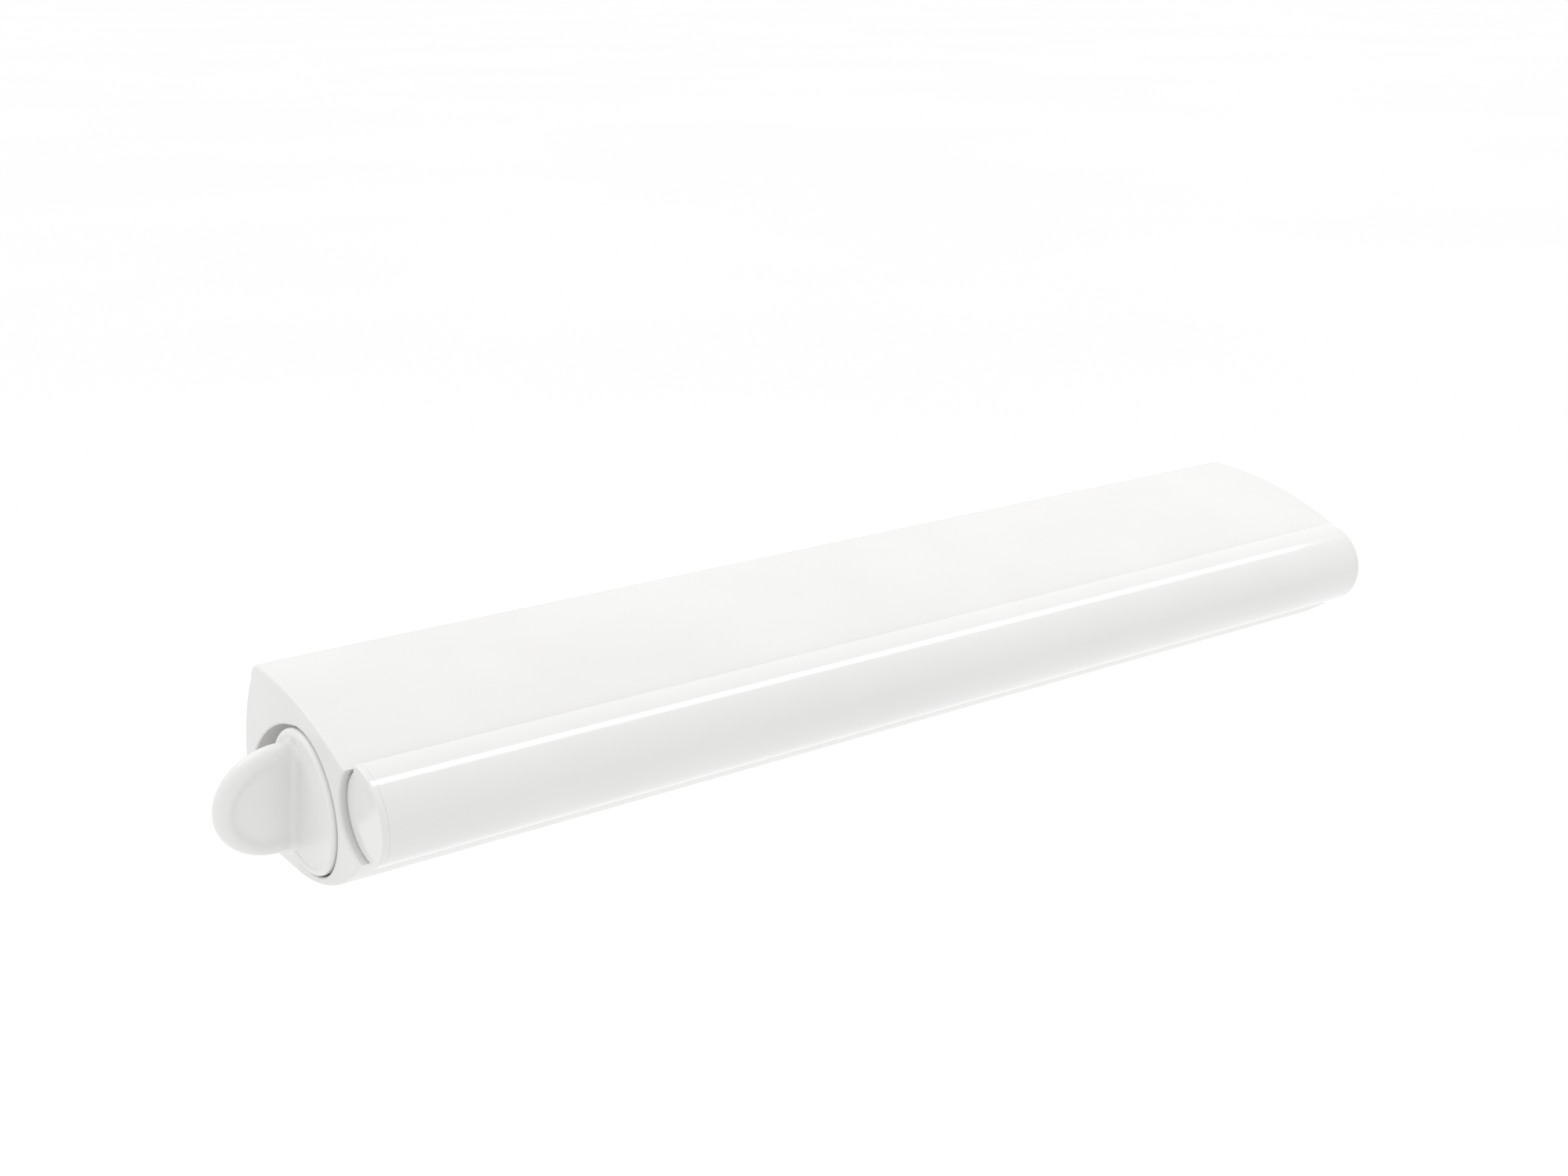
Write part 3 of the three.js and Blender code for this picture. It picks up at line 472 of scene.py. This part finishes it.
# %% [markdown]
# ## The left end cap
#
# The cap closes the case and holds the knob in a deep recess. The recess is round where the disc
# fits and runs out to a rounded point towards the wall, which leaves room for fingertips. A plate
# with rounded edges comes first, then the cup is joined on behind it and the recess is cut
# through both. The recess mouth is rounded last, because a bevel needs the finished edge.

# %% Recess outline
recess_radius = knob_radius + 0.7 * MM
reach = wall_y - 9.4 * MM
recess_floor = case_left + 16.5 * MM
cup_back = cap_high.x


def recess_outline(x, grow=0.0):
    radius = recess_radius + grow
    tip, shoulder = reach + grow, (reach - 1.8 * MM + grow, 5 * MM + grow / 2)
    side = (0.63 * reach, 0.651 * recess_radius + grow)
    meet = polar((0, 0), radius, 73)
    pen = section_pen(x, (shoulder[0], -shoulder[1]))
    pen.arc((tip, 0), shoulder, 12)
    pen.arc(side, meet, 14)
    pen.arc((-radius, 0), (meet[0], -meet[1]), 56)
    pen.arc((side[0], -side[1]), (shoulder[0], -shoulder[1]), 14)
    return pen.face()


# %% Plate, cup and recess
plate = push(case_section(case_left), (4 * MM, 0, 0))
round_edges(plate, rim_at(plate, case_left), 1.3 * MM, 5)
cup = push(recess_outline(case_left + 3 * MM, 0.9 * MM), (cup_back - case_left - 3 * MM, 0, 0))
cap = cut(plate, [cup], "UNION")
mouth = case_left - 5 * MM
hole = push(recess_outline(mouth), (recess_floor - mouth, 0, 0))
sleeve_hole = rod(works(cup_back, 0, 0), 8.9 * MM, 12 * MM)
key_way = block(works(cup_back - 6 * MM, -1.8 * MM, -10.5 * MM),
                works(cup_back + 6 * MM, 1.8 * MM, 10.5 * MM))
screw_places = [middle(f"cap_screw_left_{i}") for i in (1, 2)]
screw_holes = [rod((cup_back, p.y, p.z), 1.6 * MM, 12 * MM, segments=24) for p in screw_places]
cap = cut(cap, [hole, sleeve_hole, key_way, *screw_holes])
round_edges(cap, rim_at(cap, case_left, 70), 0.8 * MM, 4)
hand_over(cap, "left_end_cap", "housing", case_white, ["end_cap_left"])

# %% [markdown]
# ## The right end cap
#
# The other cap is plain outside, with two sunk screws. Behind it a spigot steps in by the wall's
# thickness and keeps the shells in line. The spigot could be drawn as a second outline, but
# insetting the back face follows the first one exactly.

# %% Plate with spigot and sunk screws
cap = push(case_section(case_right), (-4 * MM, 0, 0))
inner_x = case_right - 4 * MM
back_face = [f for f in cap.faces if abs(f.calc_center_median().x - inner_x) < 0.01 * MM]
bmesh.ops.inset_region(cap, faces=back_face, thickness=1.8 * MM, use_even_offset=True,
                       use_boundary=True)
made = bmesh.ops.extrude_face_region(cap, geom=back_face)
bmesh.ops.delete(cap, geom=back_face, context="FACES_ONLY")
bmesh.ops.translate(cap, verts=[g for g in made["geom"] if isinstance(g, bmesh.types.BMVert)],
                    vec=(-3 * MM, 0, 0))
round_edges(cap, rim_at(cap, case_right), 1.3 * MM, 5)
boss_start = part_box("end_cap_right")[0].x
boss = rod(works((boss_start + inner_x) / 2 - 1 * MM, 0, 0), 10 * MM, inner_x - boss_start + 2 * MM)
hollow_out = rod(works(inner_x - 4.01 * MM, 0, 0), recess_radius - 2 * MM, 8 * MM)
screws_right = [middle(f"cap_screw_right_{i}") for i in (1, 2)]
counterbores = [rod((case_right, p.y, p.z), 3.3 * MM, 4 * MM) for p in screws_right]
pilots = [rod((case_right, p.y, p.z), 1.6 * MM, 20 * MM, segments=24) for p in screws_right]
socket = rod(works(boss_start, 0, 0), 5.3 * MM, 2 * (case_right - 2 * MM - boss_start))
cap = cut(cut(cut(cap, [hollow_out]), [boss], "UNION"), [*counterbores, *pilots, socket])
round_edges(cap, rim_at(cap, case_right, 70), 0.3 * MM, 2)
hand_over(cap, "right_end_cap", "housing", case_white, ["end_cap_right"])

# %% [markdown]
# ## The pull bar
#
# The bar is a curved front shell and a back plate whose curve follows the hollow of the case, with
# a flat cap at each end. Both walls are arcs with a thickness, so the pen draws the outer arc one
# way and the inner arc back again.

# %% Bar sections
bar_centre = (hollow_centre[0] + 6.7 * MM, hollow_centre[1] - 1.8 * MM)
bar_radius = 18.2 * MM
back_radius = hollow_radius - 0.9 * MM
bar_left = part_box("bar_cap_left")[0].x
bar_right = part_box("bar_cap_right")[1].x
cap_plate = 2.4 * MM
bar_inner_left = bar_left + cap_plate + 0.04 * MM
bar_inner_right = bar_right - cap_plate - 0.04 * MM


def arc_wall(x, centre, radius, wall, angles, steps):
    first, via, last = angles
    pen = section_pen(x, polar(centre, radius, first))
    pen.arc(polar(centre, radius, via), polar(centre, radius, last), steps)
    pen.line(polar(centre, radius - wall, last))
    pen.arc(polar(centre, radius - wall, via), polar(centre, radius - wall, first), steps)
    pen.line(polar(centre, radius, first))
    return pen.face()


bar_length = bar_inner_right - bar_inner_left
bm = arc_wall(bar_inner_left, bar_centre, bar_radius, 1.6 * MM, (80.8, 165, 250), 44)
push(bm, (bar_length, 0, 0))
long_corners = [e for e in bm.edges if abs(e.verts[0].co.x - e.verts[1].co.x) > bar_length / 2
                and e.calc_face_angle(0) > math.radians(60)]
round_edges(bm, long_corners, 0.45 * MM, 3)
hand_over(bm, "bar_front", "pull_bar", bar_white, ["bar_shell"])

bm = arc_wall(bar_inner_left, hollow_centre, back_radius, 1.4 * MM, (-84, -15, 54), 32)
push(bm, (bar_length, 0, 0))
hooks = [middle("hook_plate_left"), middle("hook_plate_right")]
slots = [block((hook.x - 6 * MM, hook.y - 4 * MM, hook.z - 4.5 * MM),
               (hook.x + 6 * MM, hook.y + 8 * MM, hook.z + 4.5 * MM)) for hook in hooks]
line_bores = [rod(works(x, *deep), 2.2 * MM, 14 * MM, "Y", 32) for x in line_xs]
bm = cut(bm, slots + line_bores)
hand_over(bm, "bar_back_plate", "pull_bar", bar_white, ["bar_back"])

# %% [markdown]
# ## The bar's end caps
#
# Each cap is the whole outline of the bar, closed by two short strokes where the front and back
# walls part. Its outer edge is rounded so that it catches a thin line of light.


# %% Two flat caps
def bar_outline(x):
    pen = section_pen(x, polar(bar_centre, bar_radius, 80.8))
    pen.arc(polar(bar_centre, bar_radius, 165), polar(bar_centre, bar_radius, 250), 44)
    pen.line(polar(hollow_centre, back_radius, -84))
    pen.arc(polar(hollow_centre, back_radius, -15), polar(hollow_centre, back_radius, 54), 32)
    pen.line(polar(bar_centre, bar_radius, 80.8))
    return pen.face()


def bar_cap(name, outer_x, inward):
    bm = push(bar_outline(outer_x), (inward * cap_plate, 0, 0))
    inner = outer_x + inward * cap_plate
    faces = [f for f in bm.faces if abs(f.calc_center_median().x - inner) < 0.01 * MM]
    bmesh.ops.inset_region(bm, faces=faces, thickness=1.9 * MM, use_even_offset=True,
                           use_boundary=True)
    made = bmesh.ops.extrude_face_region(bm, geom=faces)
    bmesh.ops.delete(bm, geom=faces, context="FACES_ONLY")
    bmesh.ops.translate(bm, verts=[g for g in made["geom"] if isinstance(g, bmesh.types.BMVert)],
                        vec=(inward * 3 * MM, 0, 0))
    round_edges(bm, rim_at(bm, outer_x), 0.7 * MM, 4)
    return hand_over(bm, name + "_cap", "pull_bar", bar_white, [name])


bar_cap("bar_cap_left", bar_left, 1)
bar_cap("bar_cap_right", bar_right, -1)

# %% [markdown]
# ## The knob
#
# The knob is a round disc with a fin to grip. The disc is a turned profile. The fin could be
# extruded and bevelled, but the real one has a rounded rim, slightly scooped sides and a soft
# foot, so its profile is turned into a lens first, cut off flat above the disc, and a coved foot
# is drawn down from the cut in small steps.

# %% Turned disc
knob_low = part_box("knob")[0]
face_x = case_left - 1.5 * MM
back_x = face_x + 9 * MM
rim = 1.6 * MM
socket_depth, socket_radius = 6 * MM, 5.3 * MM
pen = turning_pen((back_x - socket_depth, 0))
pen.line((back_x - socket_depth, socket_radius)).line((back_x, socket_radius))
pen.line((back_x, knob_radius - 0.8 * MM))
pen.arc((back_x - 0.24 * MM, knob_radius - 0.24 * MM), (back_x - 0.8 * MM, knob_radius), 4)
pen.line((face_x + rim, knob_radius))
pen.arc(polar((face_x + rim, knob_radius - rim), rim, 135), (face_x, knob_radius - rim), 8)
pen.line((face_x, knob_radius - rim - 0.5 * MM))
pen.arc((face_x + 0.12 * MM, knob_radius - 2.6 * MM), (face_x + 0.35 * MM, knob_radius - 3.1 * MM), 4)
pen.line((face_x + 0.35 * MM, 0))
disc = turn(pen.bm, works(0, 0, 0), steps=120)

# %% Lens for the fin
fin_radius = 23.3 * MM
fin_half = 3.7 * MM
dish = 2.5 * MM
fin_y, fin_z = 0.3 * knob_radius, -2 * MM
fin_x = knob_low.x + fin_radius
pen = Pen(lambda r, w: works(fin_x - r, fin_y + w, fin_z), (0, 0, -1), (0, dish))
for side in (1, -1):
    half, low = fin_half * side, dish * side
    bulge = (fin_radius - 1.08 * MM, 2.62 * MM * side)
    shoulder = (fin_radius - 3.7 * MM, half)
    slope = (fin_radius - 6.2 * MM, (fin_half + dish) / 2 * side)
    inner = (fin_radius - 9.5 * MM, low)
    if side == 1:
        pen.line(inner).arc((fin_radius - 7.7 * MM, 2.67 * MM), slope, 4)
        pen.arc((fin_radius - 5.0 * MM, 3.52 * MM), shoulder, 4)
        pen.arc(bulge, (fin_radius, 0), 7)
    else:
        pen.arc(bulge, shoulder, 7)
        pen.arc((fin_radius - 5.0 * MM, -3.52 * MM), slope, 4)
        pen.arc((fin_radius - 7.7 * MM, -2.67 * MM), inner, 4)
        pen.line((0, low))
fin = turn(pen.bm, works(fin_x, fin_y, fin_z), about=(0, 1, 0), steps=128)

# %% Cut flat, then draw the coved foot down to the disc
foot = 2.6 * MM
bmesh.ops.bisect_plane(fin, geom=fin.verts[:] + fin.edges[:] + fin.faces[:], dist=1e-7,
                       plane_co=(face_x + 0.35 * MM - foot, 0, 0), plane_no=(-1, 0, 0),
                       clear_inner=True)
middle_line = Matrix.Translation(-works(0, fin_y, fin_z))
loop = [e for e in fin.edges if e.is_boundary]
steps = 7
for i in range(1, steps + 1):
    before, now = (math.radians(90 * k / steps) for k in (i - 1, i))
    made = bmesh.ops.extrude_edge_only(fin, edges=loop)
    verts = [g for g in made["geom"] if isinstance(g, bmesh.types.BMVert)]
    loop = [g for g in made["geom"] if isinstance(g, bmesh.types.BMEdge)
            and g.is_boundary]
    drop = foot * (math.sin(now) - math.sin(before))
    widen = (2 - math.cos(now)) / (2 - math.cos(before))
    bmesh.ops.translate(fin, verts=verts, vec=(drop, 0, 0))
    bmesh.ops.scale(fin, verts=verts, vec=(1, widen, 1), space=middle_line)
made = bmesh.ops.extrude_edge_only(fin, edges=loop)
sunk = [g for g in made["geom"] if isinstance(g, bmesh.types.BMVert)]
bmesh.ops.translate(fin, verts=sunk, vec=(1.2 * MM, 0, 0))
bmesh.ops.contextual_create(fin, geom=[e for e in fin.edges if e.is_boundary])
bmesh.ops.rotate(fin, verts=fin.verts[:], cent=works(0, 0, 0),
                 matrix=Matrix.Rotation(math.radians(14), 3, "X"))
bmesh.ops.recalc_face_normals(fin, faces=fin.faces[:])
knob = add_shell(disc, fin)
hand_over(knob, "tension_knob", "knob", knob_white, ["knob"], corner=50)

# %% [markdown]
# ## Lines, eyelets and windings
#
# Each line runs from the drum through an eyelet in the hollow to the bar, and the rest of its
# 4.2 m is wound on the drum in two layers. The short lead is a curve with a round section. It must
# reach from the case to the bar however far the bar is pulled, but here it is built in place as a
# fixed mesh and is not tied to either body.

# %% Turned eyelets
bore = 2.2 * MM
for i, x in enumerate(line_xs, 1):
    pen = Pen(lambda y, r: works(x, deep_y + y, line_z + r), (1, 0, 0), (0.9 * MM, bore))
    pen.line((4.3 * MM, bore))
    pen.arc((4.95 * MM, bore + 0.26 * MM), (5.3 * MM, bore + 0.9 * MM), 4)
    pen.line((5.3 * MM, eyelet_radius + 1.8 * MM))
    pen.line((1.8 * MM, eyelet_radius + 1.8 * MM))
    pen.line((1.8 * MM, eyelet_radius))
    pen.line((0.5 * MM, eyelet_radius))
    pen.arc((0.2 * MM, eyelet_radius - 0.12 * MM), (0.1 * MM, eyelet_radius - 0.4 * MM), 3)
    pen.arc((0.25 * MM, bore + 0.35 * MM), (0.9 * MM, bore), 5)
    ring = turn(pen.bm, works(x, 0, line_z), about=(0, 1, 0), steps=40)
    hand_over(ring, f"eyelet_{i}", "housing", slip_plastic,
              [f"line_eyelet_{i}"])


# %% A round cord along points
def cord(name, points, radius, sides=3):
    curve = bpy.data.curves.new(name, "CURVE")
    curve.dimensions = "3D"
    curve.bevel_depth = radius
    curve.bevel_resolution = sides
    curve.use_fill_caps = True
    path = curve.splines.new("POLY")
    path.points.add(len(points) - 1)
    for point, place in zip(path.points, points):
        point.co = (*place, 1)
    drawn = bpy.data.objects.new(name, curve)
    bpy.context.scene.collection.objects.link(drawn)
    bpy.context.view_layer.update()
    view = bpy.context.evaluated_depsgraph_get()
    mesh = bpy.data.meshes.new_from_object(drawn.evaluated_get(view))
    bpy.data.objects.remove(drawn)
    bm = bmesh.new()
    bm.from_mesh(mesh)
    bpy.data.meshes.remove(mesh)
    bmesh.ops.remove_doubles(bm, verts=bm.verts[:], dist=0.005 * MM)
    bmesh.ops.recalc_face_normals(bm, faces=bm.faces[:])
    return bm


# %% Leads from drum to bar
line_radius = 1.5 * MM
layer = (17.8 * MM, 20.4 * MM)
lead_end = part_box("line_lead_1")[0].y - axis.y
mouth = (deep_y + 4 * MM, line_z)
lean = math.atan2(mouth[1], mouth[0]) - math.acos(layer[1] / math.hypot(*mouth))
touch = (layer[1] * math.cos(lean), layer[1] * math.sin(lean))


def lead_points(x):
    """Straight off the drum, round a soft bend at the eyelet, then straight into the bar."""
    points = [works(x, touch[0] + (mouth[0] - touch[0]) * k / 4,
                    touch[1] + (mouth[1] - touch[1]) * k / 4) for k in range(4)]
    before = works(x, touch[0] + (mouth[0] - touch[0]) * 0.8, touch[1] + (mouth[1] - touch[1]) * 0.8)
    corner, after = works(x, *mouth), works(x, deep_y + 1 * MM, line_z)
    for k in range(7):
        t = k / 6
        points.append(before * (1 - t) ** 2 + corner * 2 * t * (1 - t) + after * t ** 2)
    return points + [works(x, deep_y, line_z), works(x, deep_y - 2 * MM, line_z),
                     works(x, lead_end, line_z)]


for i, x in enumerate(line_xs, 1):
    lead = hand_over(cord(f"lead_{i}", lead_points(x), line_radius, 5), f"lead_{i}", None,
                     line_coat, [f"line_lead_{i}"], corner=60)
    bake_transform(lead)

# %% Two wound layers a line
line_length = 4200 * MM
turns = round(line_length / (math.pi * sum(layer)))
pitch = 3.04 * MM


def winding_points(x, steps=20):
    half = turns / 2
    points = []
    for k in range(turns * steps + 1):
        t = k / steps
        first = t <= half
        radius = layer[0] if first else layer[1]
        along = (t - half / 2) * pitch if first else (1.5 * half - t) * pitch
        angle = 2 * math.pi * t
        points.append(works(x + along, radius * math.cos(angle), radius * math.sin(angle)))
    return points


for i, x in enumerate(line_xs, 1):
    wound = cord(f"winding_{i}", winding_points(x), line_radius * 0.99, 1)
    hand_over(wound, f"winding_{i}", "drum", line_coat, [f"line_winding_{i}"], corner=70)
print("turns a line", turns, "and length", round(turns * math.pi * sum(layer), 2), "m")

# %% [markdown]
# ## The knob's return spring
#
# A light coil sits between the back of the knob and the floor of its recess, and is squeezed when
# the knob is pressed. Here it is built as a fixed mesh that fills the spring's box and is not tied to
# either body.

# %% A coil in the spring's box
coil_low, coil_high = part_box("knob_spring")
wire = 0.6 * MM
coil_turns, coil_steps = 3, 24
coil_radius = (coil_high.z - coil_low.z) / 2 - wire
coil_points = []
for k in range(coil_turns * coil_steps + 1):
    share = k / (coil_turns * coil_steps)
    angle = 2 * math.pi * coil_turns * share
    along = coil_low.x + wire + (coil_high.x - coil_low.x - 2 * wire) * share
    coil_points.append(works(along, coil_radius * math.cos(angle), coil_radius * math.sin(angle)))
coil = hand_over(cord("knob_return_coil", coil_points, wire, 3), "knob_return_coil", None,
                 spring_steel, ["knob_spring"], corner=60)
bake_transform(coil)

# %% [markdown]
# ## Brackets and screws
#
# Two steel brackets hold the case to the wall, each with two countersunk holes. The screws of the
# end caps are turned pan heads with a slot. Small hardware like this gives the back and the end of
# the object their scale.

# %% Wall brackets
for side, (low, high) in zip(("left", "right"), bracket_boxes):
    centre = (low + high) / 2
    plate = block((low.x, -2 * MM, centre.z - 10.7 * MM), (high.x, 0, centre.z + 10.7 * MM), 0.5 * MM)
    keeper = block((low.x + 4 * MM, low.y, low.z), (high.x - 4 * MM, -1.85 * MM, high.z), 0.4 * MM)
    holes = [rod((centre.x + k * 10.35 * MM, -2 * MM, centre.z), 2.6 * MM, 8 * MM, "Y")
             for k in (-1, 1)]
    sinks = [rod((centre.x + k * 10.35 * MM, -0.3 * MM, centre.z), 3.2 * MM, 1.2 * MM, "Y",
                 radius_far=2.6 * MM) for k in (-1, 1)]
    bm = cut(cut(plate, [keeper], "UNION"), holes + sinks)
    hand_over(bm, f"bracket_{side}", "housing", zinc, [f"wall_bracket_{side}"])


# %% Slotted pan-head screws
def cap_screw(name, facing):
    low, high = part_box(name)
    centre = (low + high) / 2
    top = high.x if facing > 0 else low.x
    seat = top - facing * 1.8 * MM
    end = low.x if facing > 0 else high.x
    pen = turning_pen((top, 0), centre.y - axis.y, centre.z - axis.z)
    pen.line((top, 1.9 * MM))
    pen.arc((top - facing * 0.35 * MM, 2.68 * MM), (top - facing * 1.1 * MM, 3.0 * MM), 5)
    pen.line((seat, 3.0 * MM)).line((seat, 1.3 * MM)).line((end + facing * 1.2 * MM, 1.3 * MM))
    pen.line((end, 0))
    body = turn(pen.bm, centre, steps=36)
    slot = block((top - 0.8 * MM, centre.y - 0.4 * MM, centre.z - 4 * MM),
                 (top + 0.8 * MM, centre.y + 0.4 * MM, centre.z + 4 * MM))
    hand_over(cut(body, [slot]), name + "_slotted", "housing", zinc, [name])


for number in (1, 2):
    cap_screw(f"cap_screw_left_{number}", -1)
    cap_screw(f"cap_screw_right_{number}", 1)

# %% [markdown]
# ## Finishes for the inner works
#
# The drum, clutch, ratchet, springs and hook plates keep their engineering shapes: they are plain
# machined or moulded parts and sit inside. They only need the right finish, so each one's slot in
# the record picks it.

# %% Dress the remaining nodes
finish_of = {"satin_white_case": case_white, "gloss_white_bar": bar_white, "white_knob": knob_white,
             "grey_plastic": works_grey, "bearing_plastic": slip_plastic, "line": line_coat,
             "zinc_steel": zinc, "spring_steel": spring_steel, "drawn_aluminium": drawn_tube}
slot_of = {part["node"]: part["material_slot"] for part in frame["record"]["subparts"]}
for name, node in frame["nodes"].items():
    node.data.materials.clear()
    node.data.materials.append(finish_of[slot_of[name]])
print("dressed", len(slot_of), "nodes")

# %% [markdown]
# ## Floor, light and camera
#
# The product stands alone on white, so the floor is a wide pale sheet well below it and the world
# is soft white. One long, narrow softbox above runs the way the bar runs, because a shiny bar
# shows a lamp's shape, and that gives it one long streak. A weaker one behind and to the left
# lifts the top.

# %% Floor
bm = bmesh.new()
bmesh.ops.create_grid(bm, x_segments=2, y_segments=2, size=60,
                      matrix=Matrix.Translation((0, 0, -0.6)))
ground = to_object(bm, "studio_floor")
paper, nodes, links, shader = new_finish("studio_paper")
links.new(tint(nodes, links, noise(nodes, links, 0.5), (0.97, 0.97, 0.97), (0.98, 0.98, 0.98)),
          shader.inputs["Base Color"])
shader.inputs["Roughness"].default_value = 1.0
shader.inputs["Specular IOR Level"].default_value = 0.0
ground.data.materials.append(paper)

# %% World and lamps
world = bpy.data.worlds.new("studio_air")
bpy.context.scene.world = world
world.use_nodes = True
air = world.node_tree.nodes["Background"]
air.inputs["Color"].default_value = (1.0, 1.0, 1.0, 1)
air.inputs["Strength"].default_value = 1.02


def softbox(name, place, aim, size, power):
    lamp = bpy.data.lights.new(name, "AREA")
    lamp.shape = "RECTANGLE"
    lamp.size, lamp.size_y = size
    lamp.energy = power
    stand = bpy.data.objects.new(name, lamp)
    stand.location = place
    stand.rotation_euler = (Vector(aim) - Vector(place)).to_track_quat("-Z", "Y").to_euler()
    bpy.context.scene.collection.objects.link(stand)


softbox("long_box_above", (0.55, -0.10, 0.85), (0.55, -0.10, 0.0), (1.15, 0.20), 2.0)
softbox("fill_box_behind_left", (-0.6, 0.5, 0.9), (-0.1, -0.05, 0.03), (0.8, 0.8), 2.2)

# %% Camera
lens = bpy.data.cameras.new("catalogue_camera")
lens.lens = 44.8
lens.sensor_width = 36
lens.sensor_fit = "HORIZONTAL"
camera = bpy.data.objects.new("catalogue_camera", lens)
camera.location = works(face_x, 0, 0) + Vector((-229.5, -611.3, 286.0)) * MM
camera.rotation_euler = (math.radians(90 - 18.12), 0, math.radians(-35.70))
bpy.context.scene.collection.objects.link(camera)
bpy.context.scene.camera = camera
bpy.context.scene.view_settings.view_transform = "Standard"

# %% [markdown]
# ## A last update
#
# The finished surfaces must stay within the engineering model's box. The view layer is updated once
# more at the end.

# %% Update the view layer
bpy.context.view_layer.update()
